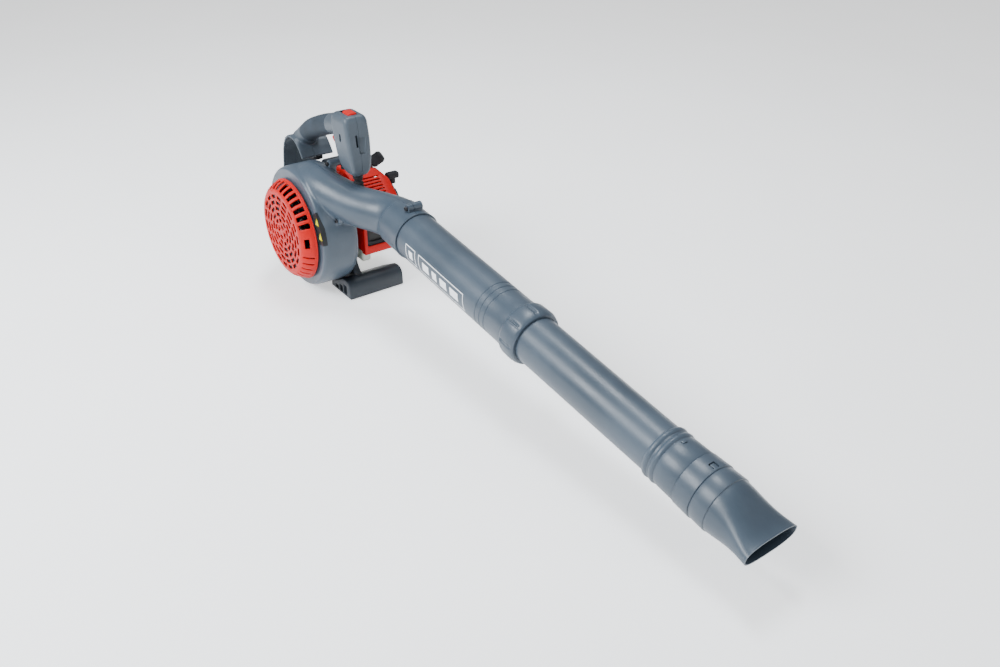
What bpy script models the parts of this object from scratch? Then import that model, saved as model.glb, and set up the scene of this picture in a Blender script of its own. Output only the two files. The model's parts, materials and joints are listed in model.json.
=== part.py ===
"""Hand-held petrol leaf blower, built as an assembly of separate named solids.

Every length below is in millimetres; to_object() turns them into metres.
+X runs forwards along the blower tube, +Y to the operator's left (engine and starter side),
+Z up. The origin is the middle of the front foot's flat bottom face.
"""

import math

import bmesh
import bpy
from mathutils import Matrix, Vector

# ---------------------------------------------------------------- driving dimensions
MM = 0.001
GAP = 0.3

CRANK_X, CRANK_Z = -55.0, 115.0        # the crankshaft's axis runs along Y through here

TUBE_START = Vector((92.0, 0.0, 172.0))  # a point on the straight tubes' axis
TUBE_SLOPE = math.radians(7.4)         # the tubes' axis runs down by this much
TUBE_RADIUS = 37.5
SECOND_TUBE_RADIUS = 35.0
TUBE_END_RADIUS = 33.4
TUBE_WALL = 2.2
TUBE_SIDES = 28

PARTING_Y = -62.0                      # where the fan drum's halves meet

SLEEVE_RADIUS = 39.4
SLEEVE_BORE = 36.4

CYLINDER_Y = 25.0
BORE_RADIUS = 17.2
STROKE = 28.0
ROD_LENGTH = 46.0
WRIST_Z = CRANK_Z - STROKE / 2 + ROD_LENGTH   # bottom dead centre

PULLEY_RADIUS = 22.0
ROPE_X, ROPE_Y = CRANK_X + PULLEY_RADIUS, 79.0

# ---------------------------------------------------------------- materials
MATERIALS = {
    "grey_plastic": ((0.22, 0.26, 0.31), 0.45, 0.0),
    "dark_plastic": ((0.045, 0.055, 0.068), 0.55, 0.0),
    "red_plastic": ((0.78, 0.03, 0.015), 0.38, 0.0),
    "black_rubber": ((0.02, 0.02, 0.022), 0.75, 0.0),
    "grip_rubber": ((0.06, 0.07, 0.08), 0.8, 0.0),
    "tank_plastic": ((0.55, 0.58, 0.5), 0.4, 0.0),
    "aluminium": ((0.6, 0.6, 0.6), 0.4, 0.9),
    "steel": ((0.5, 0.5, 0.52), 0.35, 1.0),
    "muffler_steel": ((0.12, 0.11, 0.1), 0.5, 0.8),
    "black_screw": ((0.03, 0.03, 0.035), 0.4, 0.6),
    "filter_foam": ((0.1, 0.1, 0.1), 0.95, 0.0),
}


def material(slot):
    found = bpy.data.materials.get(slot)
    if found:
        return found
    colour, roughness, metallic = MATERIALS[slot]
    made = bpy.data.materials.new(slot)
    made.use_nodes = True
    shader = made.node_tree.nodes["Principled BSDF"]
    shader.inputs["Base Color"].default_value = (*colour, 1.0)
    shader.inputs["Roughness"].default_value = roughness
    shader.inputs["Metallic"].default_value = metallic
    return made


# ---------------------------------------------------------------- frames
def axis_frame(origin, direction, up):
    """A frame at origin whose local Z is direction and whose local X is near up."""
    z = Vector(direction).normalized()
    x = (Vector(up) - z * z.dot(Vector(up))).normalized()
    y = z.cross(x)
    rotation = Matrix((x, y, z)).transposed().to_4x4()
    return Matrix.Translation(Vector(origin) * MM) @ rotation


TUBE_DIRECTION = Vector((math.cos(TUBE_SLOPE), 0.0, -math.sin(TUBE_SLOPE)))
UP, FORWARD, LEFT = Vector((0, 0, 1)), Vector((1, 0, 0)), Vector((0, 1, 0))
WORLD = Matrix.Identity(4)
TUBE = axis_frame(TUBE_START, TUBE_DIRECTION, UP)
CRANK = axis_frame((CRANK_X, 0, CRANK_Z), LEFT, FORWARD)
CYLINDER = axis_frame((CRANK_X, CYLINDER_Y, 0), UP, FORWARD)


# ---------------------------------------------------------------- shape helpers
def to_object(name, mesh, frame=WORLD, slot=None):
    """Scales a bmesh from millimetres, merges its doubles and makes an object at frame."""
    bmesh.ops.scale(mesh, vec=(MM, MM, MM), verts=mesh.verts)
    bmesh.ops.remove_doubles(mesh, verts=mesh.verts, dist=1e-6)
    bmesh.ops.recalc_face_normals(mesh, faces=mesh.faces)
    data = bpy.data.meshes.new(name)
    mesh.to_mesh(data)
    mesh.free()
    made = bpy.data.objects.new(name, data)
    made.matrix_world = frame
    bpy.context.scene.collection.objects.link(made)
    if slot:
        finish(made, slot)
    return made


def finish(made, slot):
    """Cleans up after Booleans, gives the object its material and shades it."""
    mesh = bmesh.new()
    mesh.from_mesh(made.data)
    bmesh.ops.remove_doubles(mesh, verts=mesh.verts, dist=2e-6)
    bmesh.ops.dissolve_degenerate(mesh, edges=mesh.edges, dist=2e-6)
    loose = [v for v in mesh.verts if not v.link_faces]
    bmesh.ops.delete(mesh, geom=loose, context="VERTS")
    mesh.to_mesh(made.data)
    mesh.free()
    made.data.materials.clear()
    made.data.materials.append(material(slot))
    made.data.shade_smooth()
    made.data.set_sharp_from_angle(angle=math.radians(32))
    return made


def loft(name, rings, closed=False, frame=WORLD, slot=None):
    """A solid through rings of equal count. Closed joins the last ring to the first."""
    mesh = bmesh.new()
    loops = [[mesh.verts.new(point) for point in ring] for ring in rings]
    pairs = list(zip(loops, loops[1:]))
    if closed:
        pairs.append((loops[-1], loops[0]))
    for lower, upper in pairs:
        for i, corner in enumerate(lower):
            j = (i + 1) % len(lower)
            mesh.faces.new((corner, lower[j], upper[j], upper[i]))
    if not closed:
        mesh.faces.new(list(reversed(loops[0])))
        mesh.faces.new(loops[-1])
    return to_object(name, mesh, frame, slot)


def circle(radius, height, sides):
    step = 2 * math.pi / sides
    return [
        Vector((radius * math.cos(i * step), radius * math.sin(i * step), height))
        for i in range(sides)
    ]


def turned(name, profile, frame, slot=None, sides=32, hollow=False):
    """Turns (radius, height) points about the frame's Z. Hollow profiles are closed loops."""
    rings = [circle(max(radius, 1e-4), height, sides) for radius, height in profile]
    return loft(name, rings, hollow, frame, slot)


def extruded(name, outline, low, high, axis="Y", frame=WORLD, slot=None):
    """Extrudes an outline of (a, b) points along an axis, from low to high."""
    place = {
        "X": lambda a, b, h: Vector((h, a, b)),
        "Y": lambda a, b, h: Vector((a, h, b)),
        "Z": lambda a, b, h: Vector((a, b, h)),
    }[axis]
    mesh = bmesh.new()
    face = mesh.faces.new([mesh.verts.new(place(a, b, low)) for a, b in outline])
    grown = bmesh.ops.extrude_face_region(mesh, geom=[face])
    moved = [v for v in grown["geom"] if isinstance(v, bmesh.types.BMVert)]
    bmesh.ops.translate(mesh, vec=place(0, 0, high) - place(0, 0, low), verts=moved)
    return to_object(name, mesh, frame, slot)


def block(name, low, high, bevel=0.0, slot=None, segments=2):
    """A box from its low to its high corner, with rounded edges."""
    mesh = bmesh.new()
    bmesh.ops.create_cube(mesh, size=1.0)
    low, high = Vector(low), Vector(high)
    bmesh.ops.scale(mesh, vec=high - low, verts=mesh.verts)
    bmesh.ops.translate(mesh, vec=(low + high) / 2, verts=mesh.verts)
    if bevel:
        bmesh.ops.bevel(
            mesh, geom=mesh.edges, offset=bevel, segments=segments, profile=0.5,
            affect="EDGES", clamp_overlap=True,
        )
    return to_object(name, mesh, slot=slot)


def rod(name, start, end, radius, slot=None, sides=20):
    """A plain cylinder between two points."""
    start, end = Vector(start), Vector(end)
    direction = end - start
    up = FORWARD if abs(direction.normalized().x) < 0.9 else UP
    frame = axis_frame(start, direction, up)
    return turned(name, [(radius, 0), (radius, direction.length)], frame, slot, sides)


def smooth_path(points, count):
    """count points along a Catmull-Rom curve through the given points."""
    points = [Vector(p) for p in points]
    ends = [2 * points[0] - points[1], *points, 2 * points[-1] - points[-2]]
    made = []
    for k in range(count):
        u = k * (len(points) - 1) / (count - 1)
        i = min(int(u), len(points) - 2)
        t = u - i
        a, b, c, d = ends[i:i + 4]
        made.append(0.5 * (2 * b + (c - a) * t + (2 * a - 5 * b + 4 * c - d) * t * t
                           + (3 * b - a - 3 * c + d) * t ** 3))
    return made


def swept_rings(path, radii, sides):
    """Rings square to a path. Each ring's first point lies to the +Y side."""
    rings = []
    for i, centre in enumerate(path):
        tangent = (path[min(i + 1, len(path) - 1)] - path[max(i - 1, 0)]).normalized()
        x = (LEFT - tangent * tangent.dot(LEFT)).normalized()
        y = tangent.cross(x)
        rings.append([
            centre + radii[i] * (x * math.cos(a) + y * math.sin(a))
            for a in (2 * math.pi * k / sides for k in range(sides))
        ])
    return rings


def combine(target, other, operation):
    """Applies one Boolean to target and removes the other object."""
    modifier = target.modifiers.new(operation, "BOOLEAN")
    modifier.operation = operation
    modifier.object = other
    modifier.solver = "EXACT"
    graph = bpy.context.evaluated_depsgraph_get()
    made = bpy.data.meshes.new_from_object(target.evaluated_get(graph))
    target.modifiers.clear()
    target.data = made
    bpy.data.objects.remove(other)
    return target


def join(target, *others):
    for other in others:
        combine(target, other, "UNION")
    return target


def cut(target, *others):
    for other in others:
        combine(target, other, "DIFFERENCE")
    return target


def copy_of(source, name):
    made = source.copy()
    made.data = source.data.copy()
    made.name = name
    bpy.context.scene.collection.objects.link(made)
    return made


# ---------------------------------------------------------------- lattices and turned shells
def lattice(name, outer, inner, columns, is_open, frame, slot):
    """A turned shell with holes: outer and inner are (radius, height) rows of equal count.

    is_open(row, column) says which cells of the shell are left out.
    """
    mesh = bmesh.new()
    grids = []
    for profile in (outer, inner):
        grids.append([[mesh.verts.new(p) for p in circle(r, h, columns)] for r, h in profile])
    front, back = grids
    rows = len(outer) - 1

    def solid(row, column):
        return 0 <= row < rows and not is_open(row, column % columns)

    def wall(a, b):
        (i, j), (k, m) = a, b
        mesh.faces.new((front[i][j], front[k][m], back[k][m], back[i][j]))

    for i in range(rows):
        for j in range(columns):
            if not solid(i, j):
                continue
            n = (j + 1) % columns
            mesh.faces.new((front[i][j], front[i][n], front[i + 1][n], front[i + 1][j]))
            mesh.faces.new((back[i][j], back[i + 1][j], back[i + 1][n], back[i][n]))
            if not solid(i - 1, j):
                wall((i, j), (i, n))
            if not solid(i + 1, j) and outer[i + 1][0] > 0.01:
                wall((i + 1, n), (i + 1, j))
            if not solid(i, j - 1):
                wall((i + 1, j), (i, j))
            if not solid(i, j + 1):
                wall((i, n), (i + 1, n))
    return to_object(name, mesh, frame, slot)


def rounded_outline(low, high, radius, steps=4):
    """A rectangle's outline from its low to its high (a, b) corner, with round corners."""
    points = []
    centres = ((high[0] - radius, high[1] - radius, 0), (low[0] + radius, high[1] - radius, 1),
               (low[0] + radius, low[1] + radius, 2), (high[0] - radius, low[1] + radius, 3))
    for a, b, quarter in centres:
        for k in range(steps + 1):
            angle = (quarter + k / steps) * math.pi / 2
            points.append((a + radius * math.cos(angle), b + radius * math.sin(angle)))
    return points


def half_space(name, side, y, outline=None):
    """A big block on one side (+1 or -1) of the plane at y, or of a seam outline of (x, y)."""
    reach = 400.0
    if outline is None:
        outline = [(-reach, y), (1000.0, y)]
    far = [(1000.0, side * reach), (-reach, side * reach)]
    return extruded(name, [*outline, *far], -50.0, 400.0, axis="Z")


# ---------------------------------------------------------------- volute and duct
SCROLL_START, SCROLL_END = 101.0, 106.5
SHELL_OUTSIDE = [(26, -102.5), (8, -99), (2.5, -95), (0, -88), (0, -44), (4, -35), (13, -31)]
SHELL_INSIDE = [(28, -99.5), (10, -96), (5.2, -93), (3, -87), (3, -45), (6.5, -38), (15, -34)]
DUCT_ROUTE = [(-96, -66, 148), (-78, -66, 179), (-40, -66, 195), (4, -60, 190.5), (48, -38, 178.5),
              (86, -12, 172), (112, -1.2, 169.5), (127, 0, 167.45)]
DUCT_RADII = (33, 34, 34, 34, 33.8, 33.5, 33.6, 34.6, 36.6, 38.4)
SLEEVE_FROM, SLEEVE_TO = 34.0, 84.0
INLET_RADIUS = 74.0
SEAM = [(-400.0, -62.0), (-10.0, -62.0), (20.0, -52.0), (58.0, -31.0), (90.0, -9.0), (118.0, 0.0),
        (1000.0, 0.0)]


def scroll_radius(angle):
    """The volute's radius, growing clockwise as seen from the grille side."""
    turn = (angle % (2 * math.pi)) / (2 * math.pi)
    widest = 0.78
    if turn <= widest:
        return SCROLL_START + (SCROLL_END - SCROLL_START) * turn / widest
    fall = (turn - widest) / (1 - widest)
    return SCROLL_END - (SCROLL_END - SCROLL_START) * (3 * fall ** 2 - 2 * fall ** 3)


def scroll_ring(offset, y, sides=36):
    ring = []
    for k in range(sides):
        angle = 2 * math.pi * k / sides
        radius = scroll_radius(angle) - offset
        ring.append(Vector((CRANK_X + radius * math.cos(angle), y,
                            CRANK_Z - radius * math.sin(angle))))
    return ring


def drum(name, profile):
    return loft(name, [scroll_ring(offset, y) for offset, y in profile])


def duct(name, shrink, sides=20):
    path = smooth_path(DUCT_ROUTE, len(DUCT_RADII))
    return loft(name, swept_rings(path, [radius - shrink for radius in DUCT_RADII], sides))


def boss(name, x, z, low, high, radius=6.5):
    return rod(name, (x, low, z), (x, high, z), radius, sides=10)


BOSS_ANGLES = (113, 140, 168, 205, 337)   # clockwise from +X, seen from the grille side
BOSS_FRONT, TOP_BOSS_FRONT = -70.0, -46.0
TOP_BOSS = (-22.0, 229.0)
CLAMP_X, CLAMP_Z = 163.0, 206.0


def volute_bosses():
    """Where the screws that hold the halves together run, as (x, y of the head's seat, z)."""
    places = [(TOP_BOSS[0], TOP_BOSS_FRONT, TOP_BOSS[1])]
    for degrees in BOSS_ANGLES:
        angle = math.radians(degrees)
        reach = scroll_radius(angle) + 4.2
        places.append((CRANK_X + reach * math.cos(angle), BOSS_FRONT,
                       CRANK_Z - reach * math.sin(angle)))
    return places


def drum_clearance():
    grown = [(offset - 0.6, y - 0.6 if y < PARTING_Y else y + 0.4) for offset, y in SHELL_OUTSIDE]
    return drum("clearance", grown)


def volute_body():
    sleeve = turned("sleeve", [(SLEEVE_RADIUS, SLEEVE_FROM - 0.7), (SLEEVE_RADIUS, SLEEVE_TO)], TUBE,
                    sides=TUBE_SIDES)
    body = join(drum("volute", SHELL_OUTSIDE), duct("duct", 0), sleeve)
    for x, y, z in volute_bosses():
        join(body, boss("boss", x, z, y, y + 28))
    x, z = TOP_BOSS
    join(body, block("top_web", (x - 5, TOP_BOSS_FRONT + 1, z - 24), (x + 5, -33, z)))
    join(body, boss("clamp_ear", CLAMP_X, CLAMP_Z, -9, 16, 7.0))
    join(body, block("clamp_web", (CLAMP_X - 7, -9, CLAMP_Z - 14), (CLAMP_X + 7, 16, CLAMP_Z)))
    join(body, boss("lower_ear", CLAMP_X, 119.5, -6, 6, 4.5))
    cut(body, drum("cavity", SHELL_INSIDE), duct("duct_bore", 3.0))
    cut(body, turned("sleeve_bore", [(SLEEVE_BORE, SLEEVE_FROM + 2), (SLEEVE_BORE, 100)], TUBE,
                     sides=TUBE_SIDES))
    cut(body, turned("inlet", [(INLET_RADIUS, -110), (INLET_RADIUS, -90)], CRANK, sides=48))
    cut(body, turned("shaft_hole", [(12.5, -40), (12.5, -20)], CRANK, sides=24))
    for x, y, z in volute_bosses():
        cut(body, boss("screw_hole", x, z, y - 4, y + 20, 2.6))
    cut(body, boss("screw_hole", CLAMP_X, CLAMP_Z, -20, 10, 2.6))
    return body


def volute_halves():
    body = volute_body()
    other = copy_of(body, "volute_inner")
    body.name = "volute_outer"
    shift = GAP / 2
    cut(body, half_space("far", 1, 0, [(x, y - shift) for x, y in SEAM]))
    cut(other, half_space("near", -1, 0, [(x, y + shift) for x, y in SEAM]))
    finish(body, "grey_plastic")
    finish(other, "grey_plastic")


def screw(name, x, z, head_y, length, slot="black_screw"):
    """A pan-head screw along +Y with a socket in its head."""
    frame = axis_frame((x, head_y, z), LEFT, FORWARD)
    profile = [(1.7, 1.4), (1.7, 0), (3.0, 0), (3.6, 0.8), (3.6, 3.2), (2.1, 3.2), (2.1, length)]
    return turned(name, profile, frame, slot, sides=8)


# ---------------------------------------------------------------- intake grille
GRILLE_OUTER = [(85, -103), (84.6, -107), (81.8, -115), (77, -122), (68.5, -126.5), (58, -126.5),
                (52, -126.5), (41, -126.5), (35.5, -126.5), (24.5, -126.5), (1e-4, -126.5)]
GRILLE_FLAT_TO, GRILLE_RIM_WIDTH = 67.5, 17.0
GRILLE_WALL = 2.6
GRILLE_COLUMNS = 40


def intake_grille():
    inner = []
    for radius, height in GRILLE_OUTER:
        rim = max(0.0, min(1.0, (radius - GRILLE_FLAT_TO) / GRILLE_RIM_WIDTH))
        inner.append((max(radius - GRILLE_WALL * rim, 1e-4), height + GRILLE_WALL * (1 - rim)))
    inner[0] = (GRILLE_OUTER[0][0] - GRILLE_WALL, -103)

    def is_open(row, column):
        side_slot = row == 1 and column % 2 == 0
        face_slot = row in (4, 6, 8) and column % 5 != 0
        return side_slot or face_slot

    return lattice("intake_grille", GRILLE_OUTER, inner, GRILLE_COLUMNS, is_open, CRANK, "red_plastic")


# ---------------------------------------------------------------- rotor
BLADES = 9
BLADE_ROOT = 29.0
IMPELLER_RADIUS = 67.0                 # keeps the turning blades out of the duct's bend


def impeller():
    plate = turned("impeller", [(13, -88), (17, -70), (26, -54), (IMPELLER_RADIUS, -48.5),
                                (IMPELLER_RADIUS, -45.5), (13, -45.5)], CRANK, sides=32)
    mesh = bmesh.new()
    for k in range(BLADES):
        turn = 2 * math.pi * k / BLADES
        rings = []
        for step in range(4):
            radius = BLADE_ROOT + (IMPELLER_RADIUS - 1 - BLADE_ROOT) * step / 3
            swirl = turn + 0.55 * (step / 3) ** 1.5
            across = Vector((-math.sin(swirl), math.cos(swirl), 0)) * 1.1
            centre = Vector((math.cos(swirl), math.sin(swirl), 0)) * radius
            top = -90 + 14 * (1 - step / 3) ** 2
            rings.append([centre + across + Vector((0, 0, -47)), centre - across + Vector((0, 0, -47)),
                          centre - across + Vector((0, 0, top)), centre + across + Vector((0, 0, top))])
        loops = [[mesh.verts.new(p) for p in ring] for ring in rings]
        for lower, upper in zip(loops, loops[1:]):
            for i in range(4):
                j = (i + 1) % 4
                mesh.faces.new((lower[i], lower[j], upper[j], upper[i]))
        mesh.faces.new(loops[0])
        mesh.faces.new(loops[-1])
    blades = to_object("blades", mesh, CRANK)
    join(plate, blades)
    cut(plate, turned("bore", [(8.3, -100), (8.3, -30)], CRANK, sides=24))
    return finish(plate, "dark_plastic")


def crankshaft():
    y = CYLINDER_Y
    profile = [(5.0, -97), (5.0, -84), (8.0, -84), (8.0, y - 13.4), (20.0, y - 13.4), (20.0, y - 6.5),
               (6.0, y - 6.5), (6.0, y + 6.5), (20.0, y + 6.5), (20.0, y + 13.4), (8.0, y + 13.4),
               (8.0, 74), (5.0, 74), (5.0, 75)]
    return turned("crankshaft", profile, CRANK, "steel", sides=16)


def nut(name, y, height, hole, across, slot="steel"):
    profile = [(hole, y), (across, y), (across, y + height), (hole, y + height)]
    return turned(name, profile, CRANK, slot, sides=6, hollow=True)


def bearing(name, y):
    profile = [(8.3, y), (15.6, y), (15.6, y + 8), (8.3, y + 8)]
    return turned(name, profile, CRANK, "steel", sides=20, hollow=True)


# ---------------------------------------------------------------- engine
DECK_Z = CRANK_Z + 30.0


def crankcases():
    y = CYLINDER_Y
    shell = turned("crankcase", [(32, -30.6), (32, -22), (26, -16), (26, y - 24), (29, y - 20),
                                 (29, y + 20), (26, y + 24), (26, 60)], CRANK, sides=24)
    join(shell, block("deck", (CRANK_X - 27, y - 27, CRANK_Z - 4), (CRANK_X + 27, y + 27, DECK_Z), 3))
    cut(shell, turned("crank_room", [(23, y - 15), (23, y + 15)], CRANK, sides=20))
    cut(shell, turned("shaft_way", [(9, -40), (9, 70)], CRANK, sides=16))
    cut(shell, turned("seat", [(15.9, y - 24.5), (15.9, y - 14)], CRANK, sides=20))
    cut(shell, turned("seat", [(15.9, y + 14), (15.9, y + 24.5)], CRANK, sides=20))
    cut(shell, turned("skirt_bore", [(20.5, CRANK_Z), (20.5, DECK_Z + 5)], CYLINDER, sides=20))
    other = copy_of(shell, "crankcase_starter_side")
    shell.name = "crankcase_fan_side"
    cut(shell, half_space("far", 1, y - GAP / 2))
    cut(other, half_space("near", -1, y + GAP / 2))
    finish(shell, "aluminium")
    finish(other, "aluminium")


FIN_COUNT, FIN_STEP, FIN_THICK = 4, 10.6, 3.0
FIN_HALF, BARREL_HALF = 26.0, 21.0
HEAD_Z = DECK_Z + 4 + FIN_COUNT * FIN_STEP + 4


def squircle(half, z, sides=16):
    """A rounded square ring about the cylinder's axis."""
    ring = []
    for k in range(sides):
        angle = 2 * math.pi * k / sides
        c, s = math.cos(angle), math.sin(angle)
        grow = half / (abs(c) ** 5 + abs(s) ** 5) ** 0.2
        ring.append(Vector((grow * c, grow * s, z)))
    return ring


def cylinder():
    rings = [squircle(24, DECK_Z + GAP), squircle(24, DECK_Z + 4), squircle(BARREL_HALF, DECK_Z + 4)]
    for k in range(FIN_COUNT):
        z = DECK_Z + 7.4 + k * FIN_STEP
        rings += [squircle(BARREL_HALF, z), squircle(FIN_HALF, z), squircle(FIN_HALF, z + FIN_THICK),
                  squircle(BARREL_HALF, z + FIN_THICK)]
    rings += [squircle(BARREL_HALF, HEAD_Z), squircle(13, HEAD_Z + 3)]
    body = loft("cylinder", rings, frame=CYLINDER)
    join(body, turned("skirt", [(20.1, DECK_Z - 5), (20.1, DECK_Z + 10)], CYLINDER, sides=20))
    y = CYLINDER_Y
    port_z = DECK_Z + 15
    join(body, block("exhaust_port", (CRANK_X + 15, y - 12, port_z - 9), (CRANK_X + 28, y + 12, port_z + 9)))
    join(body, block("intake_port", (CRANK_X - 28, y - 12, port_z - 9), (CRANK_X - 15, y + 12, port_z + 9)))
    cut(body, turned("bore", [(BORE_RADIUS + 0.3, DECK_Z - 10), (BORE_RADIUS + 0.3, HEAD_Z - 4)],
                     CYLINDER, sides=20))
    cut(body, rod("ports", (CRANK_X - 40, y, port_z), (CRANK_X + 40, y, port_z), 6.5, sides=16))
    plug_hole = [(5.3, -8.0), (5.3, 30.0)]
    cut(body, turned("plug_hole", plug_hole, PLUG, sides=16))
    cut(body, turned("spot_face", [(10, 7.5), (10, 30)], PLUG, sides=16))
    return finish(body, "aluminium")


PLUG_SEAT = Vector((CRANK_X + 5, CYLINDER_Y + 10, HEAD_Z))
PLUG = axis_frame(PLUG_SEAT, Vector((0.35, 0.75, 0.56)), UP)


def piston():
    top = WRIST_Z + 12
    profile = [(12.5, WRIST_Z - 9), (BORE_RADIUS, WRIST_Z - 9), (BORE_RADIUS, top), (1e-4, top + 1),
               (1e-4, top - 4), (12.5, top - 5)]
    body = turned("piston", profile, CYLINDER, sides=20)
    pin = rod("pin_way", (CRANK_X - 30, CYLINDER_Y, WRIST_Z), (CRANK_X + 30, CYLINDER_Y, WRIST_Z), 4.3,
              sides=16)
    cut(body, pin)
    finish(body, "aluminium")
    rod("wrist_pin", (CRANK_X - 15.5, CYLINDER_Y, WRIST_Z), (CRANK_X + 15.5, CYLINDER_Y, WRIST_Z), 4.0,
        "steel", 16)


def plug_and_boot():
    plug = [(4.9, 0.5), (4.9, 8), (9.0, 8), (9.0, 13), (5.5, 14), (5.0, 26), (2.5, 27), (2.5, 32)]
    turned("spark_plug", plug, PLUG, "steel", sides=18)
    boot = turned("plug_boot", [(9.0, 15), (10.5, 18), (10.5, 34), (8.0, 38)], PLUG, sides=16)
    cut(boot, turned("socket", [(5.9, 10), (5.9, 33)], PLUG, sides=16))
    finish(boot, "black_rubber")


def muffler():
    y = CYLINDER_Y
    back = CRANK_X + 29.4
    body = block("muffler", (back, y - 24, 84), (CRANK_X + 56, y + 24, 146), 6)
    join(body, block("inlet", (back, y - 16, 140), (back + 13, y + 16, 171)))
    cut(body, rod("outlet", (CRANK_X + 45, y + 8, 112), (CRANK_X + 60, y + 8, 112), 7, sides=20))
    return finish(body, "muffler_steel")


COVER_FRONT, COVER_BOTTOM, COVER_TOP = 14.0, 64.0, 203.0
COVER_LEFT, COVER_RIGHT = 62.0, -14.0
COVER_WALL = 2.4


def cover_outline(inset):
    """The red cover's side view; inset moves it inwards from the front and the top."""
    return [(COVER_FRONT - inset, COVER_BOTTOM), (COVER_FRONT - inset, 158 - inset),
            (COVER_FRONT - 4 - inset, 164 - inset), (-22 - inset, 190 - inset),
            (-30 - inset, 198 - inset), (-42, COVER_TOP - inset), (-84, COVER_TOP - inset)]


def cover_slope(inset):
    """What the slope along the cover's upper left edge takes away."""
    low, high = 182 - inset, 44 - inset
    outline = [(COVER_LEFT - inset, low), (COVER_LEFT + 10, low), (COVER_LEFT + 10, COVER_TOP + 10),
               (high - 8, COVER_TOP + 10), (high, COVER_TOP - inset)]
    return extruded("slope", outline, -100, COVER_FRONT + 20, axis="X")


def engine_cover():
    back = [(-84, 188), (-60, 186), (-40, 142), (-24, COVER_BOTTOM)]
    body = extruded("engine_cover", cover_outline(0) + back, COVER_RIGHT, COVER_LEFT)
    cut(body, cover_slope(0))
    hollow = cover_outline(COVER_WALL)
    hollow[0] = (hollow[0][0], COVER_BOTTOM - 14)
    room = extruded("hollow", [*hollow, (-100, COVER_TOP - COVER_WALL), (-100, COVER_BOTTOM - 14)],
                    COVER_RIGHT + COVER_WALL, COVER_LEFT - COVER_WALL)
    cut(room, cover_slope(COVER_WALL))
    cut(body, room)
    cut(body, extruded("window", rounded_outline((2, 86), (49, 146), 5), 0, 30, axis="X"))
    for k in range(5):
        x = -16.0 + 5.6 * k
        z = 187.5 - 5.6 * 26 / 32 * k
        cut(body, block("louvre", (x - 1.4, COVER_RIGHT + 12, z - 10), (x + 1.4, COVER_LEFT - 22, z + 14)))
    cut(body, turned("boot_way", [(13, -4), (13, 50)], PLUG, sides=20))
    cut(body, turned("crank_way", [(29.6, -40), (29.6, 80)], CRANK, sides=24))
    return finish(body, "red_plastic")


def carburettor_side():
    y = CYLINDER_Y
    z = DECK_Z + 15
    port = CRANK_X - 28
    insulator = block("carburettor_insulator", (port - 6, y - 14, z - 12), (port - GAP, y + 14, z + 12), 1)
    cut(insulator, rod("way", (port - 20, y, z), (port + 5, y, z), 6.5, sides=16))
    finish(insulator, "black_rubber")
    low = port - 33
    carb = block("carburettor", (low, y - 16, z - 15), (port - 6 - GAP, y + 16, z + 15), 3)
    join(carb, rod("pump_cover", (low + 13, y, z - 20), (low + 13, y, z), 12, sides=20))
    cut(carb, rod("way", (port - 50, y, z), (port + 5, y, z), 8, sides=16))
    cut(carb, rod("pump_well", (low + 13, y + 11.4, z - 2), (low + 13, y + 20, z - 2), 10.2, sides=16))
    finish(carb, "aluminium")
    base = block("filter_base", (low - 5, y - 26, z - 32), (low - GAP, y + 34, z + 30), 2)
    cut(base, rod("way", (low - 10, y, z), (low + 5, y, z), 8, sides=16))
    finish(base, "dark_plastic")
    foam = block("filter_element", (low - 22, y - 21, z - 27), (low - 5 - GAP, y + 29, z + 25), 2)
    cut(foam, rod("way", (low - 25, y, z + 10), (low, y, z + 10), 4, sides=12))
    finish(foam, "filter_foam")
    back = low - 32
    cover = block("filter_cover", (back, y - 26, z - 32), (low - 5 - GAP, y + 34, z + 30), 6, segments=3)
    cut(cover, block("room", (back + 3, y - 22.6, z - 28.6), (low, y + 30.6, z + 26.6)))
    cut(cover, rod("stud_way", (back - 5, y, z + 10), (back + 10, y, z + 10), 3.6, sides=12))
    finish(cover, "dark_plastic")
    knob = axis_frame((back, y, z + 10), -FORWARD, UP)
    turned("filter_knob", [(3.2, -9), (3.2, GAP), (11, GAP), (12, 3), (11, 9), (6, 10)], knob,
           "black_rubber", sides=20)
    side = y + 34
    lever = extruded("choke_lever", [(0, 5), (-26, 3.5), (-31, 0), (-26, -3.5), (0, -5), (5, 0)],
                     side + GAP, side + 3.5)
    lever.location = Vector((back + 24, 0, z + 16)) * MM
    finish(lever, "dark_plastic")
    pump = axis_frame((low + 13, y + 16 + GAP, z - 2), LEFT, UP)
    turned("primer_bulb", [(9.5, 0), (9.5, 2), (8.5, 7), (5.5, 11), (1e-4, 12)], pump, "tank_plastic",
           sides=20)


# ---------------------------------------------------------------- fuel tank
TANK_LOW, TANK_HIGH = Vector((-158, -13, 48)), Vector((-50, 58, 71))
NOSE_LOW, NOSE_HIGH = Vector((-70, -10, 48)), Vector((5, 8, 71))
FILLER_X, FILLER_Z = -138.0, 60.0


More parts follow.
